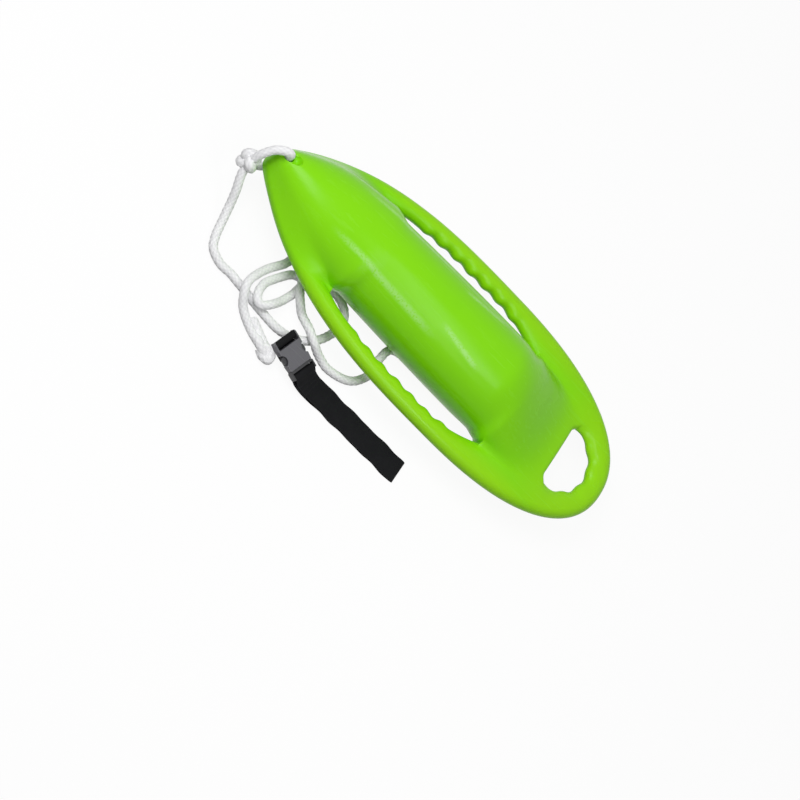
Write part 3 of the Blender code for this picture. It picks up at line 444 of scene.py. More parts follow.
def fillet(start, leave, end, arrive):
    """Points of the hollow fillet between the pod's side and the rim."""
    reach = (end - start).length * FILLET_FULLNESS
    points = []
    for k in range(1, FILLET_STEPS + 1):
        t = k / (FILLET_STEPS + 1)
        a = start * (2 * t ** 3 - 3 * t ** 2 + 1) + end * (3 * t ** 2 - 2 * t ** 3)
        b = leave * (reach * (t ** 3 - 2 * t ** 2 + t)) + arrive * (reach * (t ** 3 - t ** 2))
        points.append(a + b)
    return points


def rim_inner_angle(row, up):
    """Where the rim's inner side begins; the upper skin dips further round it beside the slots."""
    if row["kind"] == "hole":
        return RIM_INNER_ANGLE
    s = row["centre"]
    angle = lerp(NOSE_RIM_ANGLE, RIM_INNER_ANGLE, between(s, RIM_CLEARS))
    if up > 0:
        dip = between(s, SCOOP_START) * (1 - between(s, SCOOP_END))
        lowest = lerp(RIM_POCKET_ANGLE, RIM_SCOOP_ANGLE, between(s, POCKET_SHALLOWS))
        angle = lerp(angle, lowest, dip)
    return angle


def pod_side_angle(s, up=1):
    """Where the pod's skin gives way to its side wall: above, lowest beside the slots' front ends."""
    if up < 0:
        lean = POD_UNDER_EXTRA * (POD_AXIS_Z - rim_height(s)) / (POD_AXIS_Z - RIM_Z)
        return -(POD_UNDER_ANGLE + lean)
    lowest = lerp(POCKET_ANGLE, POD_TOP_ANGLE, between(s, POCKET_SHALLOWS))
    return lerp(POD_PLATE_ANGLE, lowest, between(s, SCOOP_START))


def row_side(row, up):
    """The row's points from the can's middle to its outer edge, on the upper or the under side."""
    points = []
    s = row["centre"]
    inner_angle = rim_inner_angle(row, up)
    if row["kind"] != "hole":
        last = lerp(up * NOSE_POD_ANGLE, pod_side_angle(s, up), flank(s))
        last = lerp(last, up * WEB_ANGLE, web_spread(s))
        for k in range(POD_STEPS + 1):
            points.append(pod_point(s, row["pod"], lerp(up * math.pi / 2, last, k / POD_STEPS)))
        points[0].x = 0.0
        reach = pod_reach(s, up)
        leave = Vector((row["pod"] * abs(math.sin(last)), 0, -up * reach * math.cos(last))).normalized()
        rise = RIM_HALF_HEIGHT * -math.cos(inner_angle)
        outwards = -row["inward"] * (row["band"] / 2 * math.sin(inner_angle))
        arrive = Vector((outwards.x, outwards.y, up * rise)).normalized()
        points += fillet(points[-1], leave, rim_point(row, up * inner_angle), arrive)
    for k in range(RIM_STEPS + 1):
        points.append(rim_point(row, up * inner_angle * (1 - k / RIM_STEPS)))
    if row["kind"] == "hole" and row["outer"].x < 1e-6:
        for point in points:
            point.x = 0.0
    return points


def lip_wall(top, under, edge):
    """Rounded wall points from an upper point round an edge point to the under point."""
    middle = (top.z + under.z) / 2
    half = (top.z - under.z) / 2
    points = []
    for k in range(1, WALL_STEPS + 1):
        angle = math.pi * (0.5 - k / (WALL_STEPS + 1))
        plan = (top if angle >= 0 else under).lerp(edge, math.cos(angle))
        points.append(Vector((plan.x, plan.y, middle + half * math.sin(angle))))
    return points


def row_walls(row):
    """Wall points below the pod's side and behind the rim's inner edge, top to bottom."""
    s = row["centre"]
    shares = [k / (WALL_STEPS + 1) for k in range(1, WALL_STEPS + 1)]
    pod_walls = []
    if row["kind"] != "hole":
        pod_walls = [pod_point(s, row["pod"], lerp(pod_side_angle(s), pod_side_angle(s, -1), t))
                     for t in shares]
    end_angle = 2 * math.pi - rim_inner_angle(row, -1)
    return pod_walls, [rim_point(row, lerp(rim_inner_angle(row, 1), end_angle, t)) for t in shares]


def can_half_mesh(name):
    """The can's +X half, open at the middle plane."""
    mesh = bmesh.new()
    rows = can_rows()
    joint = POD_STEPS
    inner = POD_STEPS + FILLET_STEPS + 1
    outer_index = inner + RIM_STEPS

    def vertex(point):
        return mesh.verts.new((point.x, point.y - CAN_LENGTH / 2, point.z))

    def face(*corners, flip=False):
        mesh.faces.new(reversed(corners) if flip else corners)

    def strip(a, b, flip=False):
        """Faces between two wall columns with as many points."""
        for level in range(len(a) - 1):
            face(a[level], b[level], b[level + 1], a[level + 1], flip=flip)

    uppers, unders, pod_walls, rim_walls, points = [], [], [], [], []
    for row in rows:
        upper, under, walls = row_side(row, 1), row_side(row, -1), row_walls(row)
        points.append((upper, under))
        uppers.append([vertex(p) for p in upper])
        unders.append([vertex(p) for p in under[:-1]] + [uppers[-1][-1]])
        has_pod = row["kind"] in ("slot", "tail") and row["centre"] <= SLOT_END
        last_tail = row["kind"] == "tail" and abs(row["centre"] - (HOLE_EDGE - HOLE_LIP)) < 1e-6
        pod_walls.append([vertex(p) for p in walls[0]] if has_pod else [])
        needs_rim = has_pod or last_tail or row["kind"] == "hole"
        rim_walls.append([vertex(p) for p in walls[1]] if needs_rim else [])

    slots = [i for i, row in enumerate(rows) if row["kind"] == "slot"]
    last_web = max(i for i, row in enumerate(rows) if row["kind"] == "tail")

    for i in range(len(rows) - 1):
        in_slot = slots[0] <= i < slots[-1]
        in_hole = i >= last_web
        before_shift, after_shift = (inner if rows[n]["kind"] == "hole" else 0 for n in (i, i + 1))
        for j in range(outer_index):
            if (in_slot and joint <= j < inner) or (in_hole and j < inner):
                continue
            before, after = j - before_shift, j - after_shift
            face(uppers[i][before], uppers[i][before + 1], uppers[i + 1][after + 1], uppers[i + 1][after])
            face(unders[i][before], unders[i + 1][after], unders[i + 1][after + 1], unders[i][before + 1])
        if in_slot:
            for ring, column, flip in ((pod_walls, joint, False), (rim_walls, inner, True)):
                a, b = ([uppers[n][column]] + ring[n] + [unders[n][column]] for n in (i, i + 1))
                for level in range(len(a) - 1):
                    face(a[level], a[level + 1], b[level + 1], b[level], flip=flip)
        if in_hole:
            column = inner - before_shift
            strip([uppers[i][column]] + rim_walls[i] + [unders[i][column]],
                  [uppers[i + 1][0]] + rim_walls[i + 1] + [unders[i + 1][0]])

    def end_wall(i, edges, flip):
        """Close the row's section with a rounded wall; the columns with no edge have their wall."""
        upper, under = points[i]
        columns = []
        for column, edge in edges:
            if edge is None:
                ring = pod_walls[i] if column == joint else rim_walls[i]
            else:
                ring = [vertex(p) for p in lip_wall(upper[column], under[column], edge)]
            columns.append([uppers[i][column]] + ring + [unders[i][column]])
        for a, b in zip(columns, columns[1:]):
            strip(a, b, flip)

    for i, flip, lip in ((slots[0], False, -SLOT_LIP), (slots[-1], True, SLOT_LIP)):
        row = rows[i]
        pod_edge = Vector((row["pod"], row["centre"] + lip, 0))
        grip_edge = Vector((row["outer"].x - row["band"], row["centre"] + lip, 0))
        edges = [pod_edge.lerp(grip_edge, k / (FILLET_STEPS + 1)) for k in range(1, FILLET_STEPS + 1)]
        end_wall(i, list(enumerate([None] + edges + [None], start=joint)), flip)

    upper = points[last_web][0]
    edges = []
    for column in range(inner):
        t = max(column - joint, 0) / (inner - joint)
        x = upper[min(column, joint)].x
        edges.append(Vector((x, HOLE_EDGE, 0)).lerp(Vector((*HOLE_CORNER, 0)), t))
    end_wall(last_web, list(enumerate(edges + [None])), False)

    for j in range(outer_index - 1):
        face(uppers[0][j], unders[0][j], unders[0][j + 1], uppers[0][j + 1])
    face(uppers[0][outer_index - 1], unders[0][outer_index - 1], uppers[0][outer_index])

    for vert in mesh.verts:
        vert.co.z = max(vert.co.z, 0.0)
    bmesh.ops.recalc_face_normals(mesh, faces=mesh.faces)
    data = bpy.data.meshes.new(name)
    mesh.to_mesh(data)
    mesh.free()
    return data


HULL_GREEN = (0.230, 0.700, 0.004)
HULL_GREEN_PALE = (0.245, 0.715, 0.005)
HULL_GREEN_DEEP = (0.217, 0.685, 0.003)
HULL_GREEN_RUBBED = (0.26, 0.73, 0.03)
HULL_GREEN_PAINTED_HIGHLIGHT = (0.36, 0.77, 0.16)
HULL_FINISH = (0.26, 0.14)
HULL_TONES = (0.3, 0.7)
HULL_ROUGHNESSES = (0.20, 0.28)
RUBBED_DULLER = 0.35
PEEL = (0.16, 0.0006)

# The rim and the tail are thinner and let more light through: where their tint is full and ends
HULL_RIM_GREEN = (0.290, 0.705, 0.006)
RIM_TINT = (0.128, 0.085)
TAIL_TINT = (0.320, 0.200)

# Painted highlight lines along the pod's crests: pale streaks with a scuffed grain that stand for a strip
# lamp's glint on the upper side. Each is given by its distance from the middle plane, its lean, its
# middle and half length, and its width.
PAINTED_HIGHLIGHT_LINES = [(0.0555, 0.051, -0.135, 0.120, 0.0062), (0.0380, 0.133, 0.014, 0.050, 0.0055)]
PAINTED_HIGHLIGHT_ABOVE = 0.075
PAINTED_HIGHLIGHT_GRAIN = 330.0
PAINTED_HIGHLIGHT_CUT = (0.56, 0.28)


def group_of(name, inputs, outputs):
    """An empty shader node group with named float inputs, which have values, and float outputs."""
    tree = bpy.data.node_groups.new(name, "ShaderNodeTree")
    for socket, value in inputs:
        made = tree.interface.new_socket(name=socket, in_out="INPUT", socket_type="NodeSocketFloat")
        made.default_value = value
    for socket in outputs:
        tree.interface.new_socket(name=socket, in_out="OUTPUT", socket_type="NodeSocketFloat")
    return tree, tree.nodes.new("NodeGroupInput").outputs, tree.nodes.new("NodeGroupOutput").inputs


def object_place(tree):
    return placed(tree, "TexCoord", {}).outputs["Object"]


def noise(place, scale, detail=2.0, roughness=0.5):
    return placed(place.id_data, "TexNoise", {"Vector": place, "Scale": scale, "Detail": detail,
                                              "Roughness": roughness}).outputs["Fac"]


def math_node(operation, a, b=0.0, c=0.0, clamp=False):
    tree = (a if isinstance(a, bpy.types.NodeSocket) else b).id_data
    return placed(tree, "Math", {0: a, 1: b, 2: c}, operation=operation, use_clamp=clamp).outputs[0]


def ramp(value, start, end, first=0.0, last=1.0, rise="LINEAR"):
    """From the first value to the last while the given value goes from start to end."""
    inputs = {"Value": value, "From Min": start, "From Max": end, "To Min": first, "To Max": last}
    return placed(value.id_data, "MapRange", inputs, interpolation_type=rise).outputs["Result"]


def fading(value, full, none):
    """1 up to the first limit, falling smoothly to 0 at the second."""
    return ramp(value, full, none, 1.0, 0.0, "SMOOTHSTEP")


def finish_of(name, colour, roughness, specular=0.5):
    """A material and its Principled shader, ready for its colour and bump nodes."""
    made = bpy.data.materials.new(name)
    made.use_nodes = True
    return made, filled(made.node_tree.nodes["Principled BSDF"], {
        "Base Color": (*colour, 1.0), "Roughness": roughness, "Specular IOR Level": specular})


def tint_between(low, high, factor):
    """A colour between two, by a factor that changes over the surface."""
    low, high = (tint if isinstance(tint, bpy.types.NodeSocket) else (*tint, 1.0)
                 for tint in (low, high))
    return placed(factor.id_data, "Mix", {"A": low, "B": high, "Factor": factor},
                  data_type="RGBA").outputs["Result"]


def bump_of(height, strength, distance, shader):
    bump = placed(height.id_data, "Bump", {"Strength": strength, "Distance": distance,
                                           "Height": height})
    link(bump.outputs["Normal"], shader.inputs["Normal"])


def in_the_scene(name, mesh, material):
    ob = bpy.data.objects.new(name, mesh)
    bpy.context.scene.collection.objects.link(ob)
    mesh.materials.clear()
    mesh.materials.append(material)
    return ob


def settled_mesh(ob):
    """Work the object's modifiers into its mesh."""
    bpy.context.view_layer.update()
    solid = bpy.data.meshes.new_from_object(ob.evaluated_get(bpy.context.evaluated_depsgraph_get()))
    ob.modifiers.clear()
    ob.data = solid


def shaded_smooth(mesh, sharp_angle=None):
    mesh.polygons.foreach_set("use_smooth", [True] * len(mesh.polygons))
    if sharp_angle:
        mesh.set_sharp_from_angle(angle=math.radians(sharp_angle))


def turned_solid(name, profile, place, steps=48):
    """A solid of revolution about an upright axis from (radius, height) pairs."""
    shape = bmesh.new()
    rings = []
    for radius, height in profile:
        if radius == 0:
            rings.append([shape.verts.new((place[0], place[1], height))] * steps)
            continue
        rings.append([shape.verts.new((place[0] + radius * math.cos(2 * math.pi * k / steps),
                                       place[1] + radius * math.sin(2 * math.pi * k / steps), height))
                      for k in range(steps)])
    for low, high in zip(rings, rings[1:]):
        for k in range(steps):
            after = (k + 1) % steps
            shape.faces.new(list(dict.fromkeys((low[k], low[after], high[after], high[k]))))
    bmesh.ops.recalc_face_normals(shape, faces=shape.faces)
    mesh = bpy.data.meshes.new(name)
    shape.to_mesh(mesh)
    shape.free()
    return mesh


def bored(ob, tool_mesh):
    """Take a tool's form out of the object."""
    tool = bpy.data.objects.new("bore", tool_mesh)
    bpy.context.scene.collection.objects.link(tool)
    cut = ob.modifiers.new("bore", "BOOLEAN")
    cut.operation = "DIFFERENCE"
    cut.solver = "EXACT"
    cut.object = tool
    settled_mesh(ob)
    bpy.data.objects.remove(tool)


# Skin of every moulded plastic here: a fine peel, a slow change of tone, and rubbed streaks that
# run along the can.
TONE_SCALE = 9.0
STREAKS = (140.0, 9.0, 140.0)
STREAK_CUT = (0.56, 0.72)
skin, skin_in, skin_out = group_of("moulded_skin", [("Peel Size", 420.0), ("Rubbing", 0.4)],
                                   ["Height", "Tone", "Rub"])
skin_place = object_place(skin)
link(noise(skin_place, skin_in["Peel Size"], 2.0, 0.45), skin_out["Height"])
link(noise(skin_place, TONE_SCALE, 3.0), skin_out["Tone"])
streak_place = placed(skin, "Mapping", {"Vector": skin_place, "Scale": STREAKS}).outputs["Vector"]
streaks = ramp(noise(streak_place, 1.0, 5.0, 0.65), *STREAK_CUT)
link(math_node("MULTIPLY", streaks, skin_in["Rubbing"]), skin_out["Rub"])

hull_lime, lime_shader = finish_of("hull_lime", HULL_GREEN, *HULL_FINISH)
lime_skin = placed(lime_shader.id_data, "Group", {}, node_tree=skin).outputs
lime_place = object_place(lime_shader.id_data)
lime_axes = placed(lime_shader.id_data, "SeparateXYZ", {"Vector": lime_place}).outputs
across_hull = math_node("ABSOLUTE", lime_axes["X"])
# Painted highlight: a pale, grainy streak along each pod crest, above the axis only, where a lamp's glint
# falls
painted_highlight = 0.0
for away, lean, middle, half, wide in PAINTED_HIGHLIGHT_LINES:
    off_line = math_node("ABSOLUTE", math_node(
        "SUBTRACT", across_hull, math_node("MULTIPLY_ADD", lime_axes["Y"], lean, away)))
    off_middle = math_node("ABSOLUTE", math_node("SUBTRACT", lime_axes["Y"], middle))
    line = math_node("MULTIPLY", fading(off_line, 0.0, wide), fading(off_middle, 0.5 * half, half))
    painted_highlight = math_node("MAXIMUM", line, painted_highlight)
painted_highlight = math_node("MULTIPLY", painted_highlight, math_node("GREATER_THAN", lime_axes["Z"], PAINTED_HIGHLIGHT_ABOVE))
painted_highlight = math_node("MULTIPLY", painted_highlight, fading(noise(lime_place, PAINTED_HIGHLIGHT_GRAIN, 3.0), *PAINTED_HIGHLIGHT_CUT))
thin = math_node("MAXIMUM", fading(across_hull, *RIM_TINT), fading(lime_axes["Y"], *TAIL_TINT))
lime = tint_between(HULL_GREEN_DEEP, HULL_GREEN_PALE, lime_skin["Tone"])
for tint, factor in ((HULL_RIM_GREEN, thin), (HULL_GREEN_RUBBED, lime_skin["Rub"]),
                     (HULL_GREEN_PAINTED_HIGHLIGHT, painted_highlight)):
    lime = tint_between(lime, tint, factor)
link(lime, lime_shader.inputs["Base Color"])
lime_rough = ramp(lime_skin["Tone"], *HULL_TONES, *HULL_ROUGHNESSES)
link(math_node("MULTIPLY_ADD", lime_skin["Rub"], RUBBED_DULLER, lime_rough),
     lime_shader.inputs["Roughness"])
bump_of(lime_skin["Height"], *PEEL, lime_shader)

hull = in_the_scene("can_hull", can_half_mesh("can_hull"), hull_lime)
hull.modifiers.new("other_half", "MIRROR").merge_threshold = 0.0001
hull.modifiers.new("moulded_radii", "SUBSURF").levels = 1
settled_mesh(hull)

# Rope hole through the nose with rounded mouths, and behind the upper one a shallow seat in
# which the rope can turn. The boring tools reach past the skin.
TOOL_REACH = 0.02
RAY_START = 0.3
HOLE_MOUTH = 0.0035
HOLE_MOUTH_STEPS = 8
HOLE_MOUTH_SINKS = 0.001
SEAT_BEHIND = 0.0095
SEAT_BOWL = [(0, -0.0085), (0.0040, -0.0078), (0.0066, -0.0050), (0.0078, 0.0), (0.0092, 0.0030),
             (0.0092, TOOL_REACH), (0, TOOL_REACH)]
hull_form = BVHTree.FromObject(hull, bpy.context.evaluated_depsgraph_get())


def skin_height(y, side):
    """Height of the hull's skin over its middle line, on the upper side (1) or the under side (-1)."""
    return hull_form.ray_cast(Vector((0, y, side * RAY_START)), Vector((0, 0, -side)))[0].z


hole_y = ROPE_HOLE_STATION - CAN_LENGTH / 2
hole_top, hole_under = skin_height(hole_y, 1), skin_height(hole_y, -1)
tool_radius = ROPE_HOLE_RADIUS + 3 * HOLE_MOUTH
spool = [(0, hole_under - TOOL_REACH), (tool_radius, hole_under - TOOL_REACH)]
for k in range(HOLE_MOUTH_STEPS + 1):
    angle = math.pi / 2 * k / HOLE_MOUTH_STEPS
    spool.append((ROPE_HOLE_RADIUS + HOLE_MOUTH * (1 - math.sin(angle)),
                  hole_under - HOLE_MOUTH_SINKS + HOLE_MOUTH * (1 - math.cos(angle))))
spool += [(radius, hole_top + hole_under - height) for radius, height in reversed(spool[2:])]
spool += [(tool_radius, hole_top + TOOL_REACH), (0, hole_top + TOOL_REACH)]
bored(hull, turned_solid("rope_hole", spool, (0, hole_y)))
seat_y = hole_y + SEAT_BEHIND
seat_top = skin_height(seat_y, 1)
bored(hull, turned_solid("hole_seat", [(radius, seat_top + height) for radius, height in SEAT_BOWL],
                         (0, seat_y)))

# Ports in the belly: station, head radius, stem radius; the heads sit in shallow seats.
FILL_PORT = (0.300, 0.0100, 0.0070)
VENT_PORT = (0.450, 0.0060, 0.0035)
PORT_DEPTH = 0.0070
FIT_GAP = 0.0003
HEAD_SEAT = 0.0020
SEAT_CHAMFER = (0.0012, 0.0008)
for station, head_radius, stem_radius in (FILL_PORT, VENT_PORT):
    mouth = head_radius + SEAT_CHAMFER[0]
    seat = [(0, -HEAD_SEAT), (mouth, -HEAD_SEAT), (mouth, 0.0),
            (head_radius + FIT_GAP, SEAT_CHAMFER[1]), (head_radius + FIT_GAP, HEAD_SEAT),
            (stem_radius + FIT_GAP, HEAD_SEAT), (stem_radius + FIT_GAP, PORT_DEPTH), (0, PORT_DEPTH)]
    bored(hull, turned_solid("port", seat, (0, station - CAN_LENGTH / 2)))
hull.data.materials.clear()
hull.data.materials.append(hull_lime)
hull.data.polygons.foreach_set("material_index", [0] * len(hull.data.polygons))
shaded_smooth(hull.data, 38)
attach(hull, "can")
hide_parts("hull_shell")


# Foam core: the cream closed-cell foam that is poured in through the fill port and sets inside
# the hull. It keeps the can afloat when the hull is holed.
FOAM_CREAM = (0.78, 0.70, 0.50)
FOAM_TINTS = ((0.70, 0.60, 0.38), (0.82, 0.75, 0.56))
FOAM_AGEING = (25.0, 4.0)
CELLS_PER_METRE = 900.0
CELL_RELIEF = (0.6, 0.0008)
foam_cream, foam_shader = finish_of("foam_cells", FOAM_CREAM, 0.85, 0.3)
foam_place = object_place(foam_shader.id_data)
link(tint_between(*FOAM_TINTS, noise(foam_place, *FOAM_AGEING)), foam_shader.inputs["Base Color"])
foam_cells = {"Vector": foam_place, "Scale": CELLS_PER_METRE}
bump_of(placed(foam_shader.id_data, "TexVoronoi", foam_cells).outputs["Distance"], *CELL_RELIEF,
        foam_shader)
nodes["foam_core"].material_slots[0].material = foam_cream


# Plugs: two turned green plugs pressed into the belly once the foam has set, the larger in the
# fill port and the smaller in the vent.
PLUG_GREEN = (0.19, 0.60, 0.020)
PLUG_TINTS = ((0.17, 0.55, 0.017), (0.22, 0.66, 0.03))
PLUG_FINISH = (0.42, 0.45)
PLUG_SKIN = {"Peel Size": 900.0, "Rubbing": 0.8}
RUB_ON_SMALL_PARTS = 0.3


def small_moulding(name, colour, finish, tints, values, relief):
    """A small moulding's plastic: the moulded skin with its own values, duller where it's rubbed."""
    material, shader = finish_of(name, colour, *finish)
    own = placed(shader.id_data, "Group", values, node_tree=skin).outputs
    link(tint_between(*tints, own["Tone"]), shader.inputs["Base Color"])
    if "Rubbing" in values:
        duller = math_node("MULTIPLY_ADD", own["Rub"], RUB_ON_SMALL_PARTS, finish[0])
        link(duller, shader.inputs["Roughness"])
    bump_of(own["Height"], *relief, shader)
    return material


plug_lime = small_moulding("plug_lime", PLUG_GREEN, PLUG_FINISH, PLUG_TINTS, PLUG_SKIN, (0.2, 0.0003))
for name in ("fill_plug", "vent_plug"):
    nodes[name].material_slots[0].material = plug_lime


# Nose bight and knot: the rope's end is passed through the hole in the nose, brought round its
# tip and tied to the standing part. Solid-braided polypropylene, white, thirteen millimetres.
ROPE_RADIUS = 0.0065
BRAID_CROWN = 0.0070
ROPE_CLEAR = 0.0068
ROPE_OFF_FLOOR = 0.0001
ROPE_STEP = 0.0012
ROPE_SIDES = 28
EASING_ROUNDS = 3
BRAID_STRANDS = 6
BRAID_PITCH = 0.0088
BRAID_RELIEF = 0.0011
STRAND_ROUNDNESS = 1.9
STRAND_DIP = 0.38
ASKEW = (0.31, 0.17, 0.94)
KNOT_ROPE = 0.0077
KNOT_STEPS = 150
KNOT_BEGIN = 0.35
KNOT_SHARE = 0.965
KNOT_DEPTH = 1.6
NOSE_KNOT = (30, -17, 64)
NOSE_KNOT_SPREAD = (0.0038, 0.0044, 0.0040)
NOSE_KNOT_TURN = Euler((math.radians(75), math.radians(20), math.radians(35))).to_matrix()
NOSE_LOOP_ROUTE = [
    (29, -16, 76), (22, -14, 92), (12, -7, 106), (5, 5, 113), (1, 14, 111), (0, 17, 100),
    (0, 17, 84), (0, 17, 70), (0, 17.5, 60), (0.5, 17.5, 50), (3, 14, 42), (8, 6, 37),
    (15, -3, 37), (21, -10, 42), (26, -15, 51)]


def millimetres(across, behind, height=6.5):
    """A place across the can, behind its nose tip and above the floor, where rope lies at 6.5."""
    return Vector((across / 1000, behind / 1000 - CAN_LENGTH / 2, height / 1000))


def smooth_course(points, step):
    """A smooth curve through the points, with a place about every step."""
    ends = [2 * points[0] - points[1]] + points + [2 * points[-1] - points[-2]]
    course = []
    for a, b, c, d in zip(ends, ends[1:], ends[2:], ends[3:]):
        count = max(2, round((c - b).length / step))
        for k in range(count):
            t = k / count
            course.append(0.5 * (2 * b + (c - a) * t + (2 * a - 5 * b + 4 * c - d) * t * t
                                 + (3 * b - a - 3 * c + d) * t ** 3))
    return course + [points[-1]]


def laid_rope(route):
    return smooth_course([millimetres(*place) for place in route], ROPE_STEP)


can_surface = BVHTree.FromObject(hull, bpy.context.evaluated_depsgraph_get())


def rest_against(course):
    """Move each place that would press into the can out to its surface, and ease the kinks."""
    for _ in range(EASING_ROUNDS):
        settled = []
        for place in course:
            near, _, _, distance = can_surface.find_nearest(place)
            if distance < ROPE_CLEAR:
                place = near + (place - near).normalized() * ROPE_CLEAR
            settled.append(Vector((place.x, place.y, max(place.z, ROPE_RADIUS))))
        course = [settled[0]]
        course += [(a + 2 * b + c) / 4 for a, b, c in zip(settled, settled[1:], settled[2:])]
        course.append(settled[-1])
    return course


def course_length(course):
    return sum((b - a).length for a, b in zip(course, course[1:]))


def braid_height(around, along):
    """Relief of a round braid, 0 in the grooves and 1 on the strands' crowns."""
    u = BRAID_STRANDS * around / (2 * math.pi) + along / BRAID_PITCH
    v = BRAID_STRANDS * around / (2 * math.pi) - along / BRAID_PITCH
    cell_u, cell_v = np.floor(u), np.floor(v)
    part_u, part_v = u - cell_u - 0.5, v - cell_v - 0.5
    over = (cell_u + cell_v) % 2 < 1
    across = np.where(over, part_u, part_v)
    lengthwise = np.where(over, part_v, part_u)
    sides = np.sqrt(1 - (STRAND_ROUNDNESS * across) ** 2)
    return sides * (1 - STRAND_DIP + STRAND_DIP * np.cos(math.pi * lengthwise))


def braided(name, course, radius, material):
    """A braided tube along the course, its relief made in the mesh."""
    places = np.array([tuple(p) for p in course])
    ahead = np.gradient(places, axis=0)
    ahead /= np.linalg.norm(ahead, axis=1)[:, None]
    steps = np.linalg.norm(np.diff(places, axis=0), axis=1)
    along = np.concatenate([[0.0], np.cumsum(steps)])
    side = np.cross(ahead[0], ASKEW)
    sides_out = []
    for direction in ahead:
        side = side - direction * (side @ direction)
        side /= np.linalg.norm(side)
        sides_out.append(side)
    sides_out = np.array(sides_out)
    ups = np.cross(ahead, sides_out)
    around = np.linspace(0, 2 * math.pi, ROPE_SIDES, endpoint=False)
    # A hair off the strands' borders, so that rounding can't put a point on the wrong strand
    relief = braid_height(around[None, :] + 1e-4, along[:, None] + 1e-5)
    reach = radius - BRAID_RELIEF * (1 - relief) * radius / ROPE_RADIUS
    rings = (places[:, None, :] + sides_out[:, None, :] * (reach * np.cos(around))[..., None]
             + ups[:, None, :] * (reach * np.sin(around))[..., None])
    rings[:, :, 2] = np.maximum(rings[:, :, 2], ROPE_OFF_FLOOR)
    here = np.arange(len(places) - 1)[:, None] * ROPE_SIDES
    near = np.arange(ROPE_SIDES)
    after = (near + 1) % ROPE_SIDES
    there = here + ROPE_SIDES
    quads = np.stack([here + near, here + after, there + after, there + near], -1)
    faces = quads.reshape(-1, 4).tolist()
    faces.append(near[::-1].tolist())
    faces.append(((len(places) - 1) * ROPE_SIDES + near).tolist())
    mesh = bpy.data.meshes.new(name)
    mesh.from_pydata(rings.reshape(-1, 3).tolist(), [], faces)
    shaded_smooth(mesh)
    # The relief is also kept as the crown attribute, from which the rope's material paints shade into the
    # braid's grooves
    crown = mesh.attributes.new("crown", "FLOAT", "POINT")
    crown.data.foreach_set("value", relief.reshape(-1).astype(np.float32))
    return in_the_scene(name, mesh, material)


# Fine fuzz that the rope and the webbing share: short fibres in every direction.
fuzz, fuzz_in, fuzz_out = group_of("fibre_fuzz", [("Fineness", 900.0)], ["Height", "Shade"])
fuzz_place = object_place(fuzz)
link(noise(fuzz_place, fuzz_in["Fineness"], 3.0), fuzz_out["Height"])
link(noise(fuzz_place, 60.0), fuzz_out["Shade"])


def attribute_of(shader, name):
    return placed(shader.id_data, "Attribute", {}, attribute_name=name).outputs["Fac"]


ROPE_WHITE = (0.88, 0.88, 0.89)
ROPE_TINTS = ((0.68, 0.68, 0.70), (0.94, 0.94, 0.95))
ROPE_SHADE = (0.35, -0.17)
ROPE_FIBRES = (0.5, 0.0004)
rope_white, rope_shader = finish_of("rope_fibre", ROPE_WHITE, 0.78, 0.25)
filled(rope_shader, {"Sheen Weight": 0.25, "Sheen Roughness": 0.5})
rope_fuzz = placed(rope_shader.id_data, "Group", {}, node_tree=fuzz).outputs
# Painted shade: the rope's white is darker in the braid's grooves, where the crown attribute is low; the
# fuzz adds a random tone
rope_groove_shade_and_tone = math_node("ADD", attribute_of(rope_shader, "crown"),
                     math_node("MULTIPLY_ADD", rope_fuzz["Shade"], *ROPE_SHADE), clamp=True)
link(tint_between(*ROPE_TINTS, rope_groove_shade_and_tone), rope_shader.inputs["Base Color"])
bump_of(rope_fuzz["Height"], *ROPE_FIBRES, rope_shader)


def knot_course(centre, spread, turn):
    """The rope's course through a tight overhand knot, about the knot's middle."""
    course = []
    for k in range(KNOT_STEPS):
        t = KNOT_BEGIN + 2 * math.pi * KNOT_SHARE * k / (KNOT_STEPS - 1)
        spot = Vector(((math.sin(t) + 2 * math.sin(2 * t)) * spread[0],
                       (math.cos(t) - 2 * math.cos(2 * t)) * spread[1],
                       -KNOT_DEPTH * math.sin(3 * t) * spread[2]))
        course.append(millimetres(*centre) + turn @ spot)
    return course


loop_course = rest_against(laid_rope(NOSE_LOOP_ROUTE))
nose_loop = braided("nose_bight", loop_course, BRAID_CROWN, rope_white)
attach(nose_loop, "can")
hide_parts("nose_loop")
nose_knot = braided("nose_knot_rope", knot_course(NOSE_KNOT, NOSE_KNOT_SPREAD, NOSE_KNOT_TURN),
                    KNOT_ROPE, rope_white)
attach(nose_knot, "can")
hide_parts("nose_knot")


# Tow rope: one length of the same rope. It leaves the nose knot, lies on the floor in two loops,
# passes once round under the can and ends in the knot at the belt's buckle.
STRAND_DOWN = [
    (33, -15, 62), (48, -9, 50), (63, 3, 35), (79, 13, 20), (102, 22, 9), (125, 28),
    (141, 36), (149, 50), (152, 64), (151, 80), (153, 99),
    (155, 118), (158, 138), (160, 160), (161, 186), (155, 212),
    (143, 232)]
STRAND_UNDER = [
    (131, 244), (118, 253), (104, 259), (88, 264), (71, 263),
    (57, 253), (50, 238), (48, 218), (52, 200), (62, 188)]
INNER_LOOP = [
    (80, 179), (101, 175), (115, 170, 7.5), (127, 165, 11), (138, 159, 16),
    (147, 153.5, 19.8), (155, 147, 20.4), (160, 140, 20.4), (158, 132, 20.4), (150, 127, 20.4),
    (140, 126, 18), (124, 129, 12), (108, 137, 7.5), (96, 144), (85, 151), (78, 158, 8)]
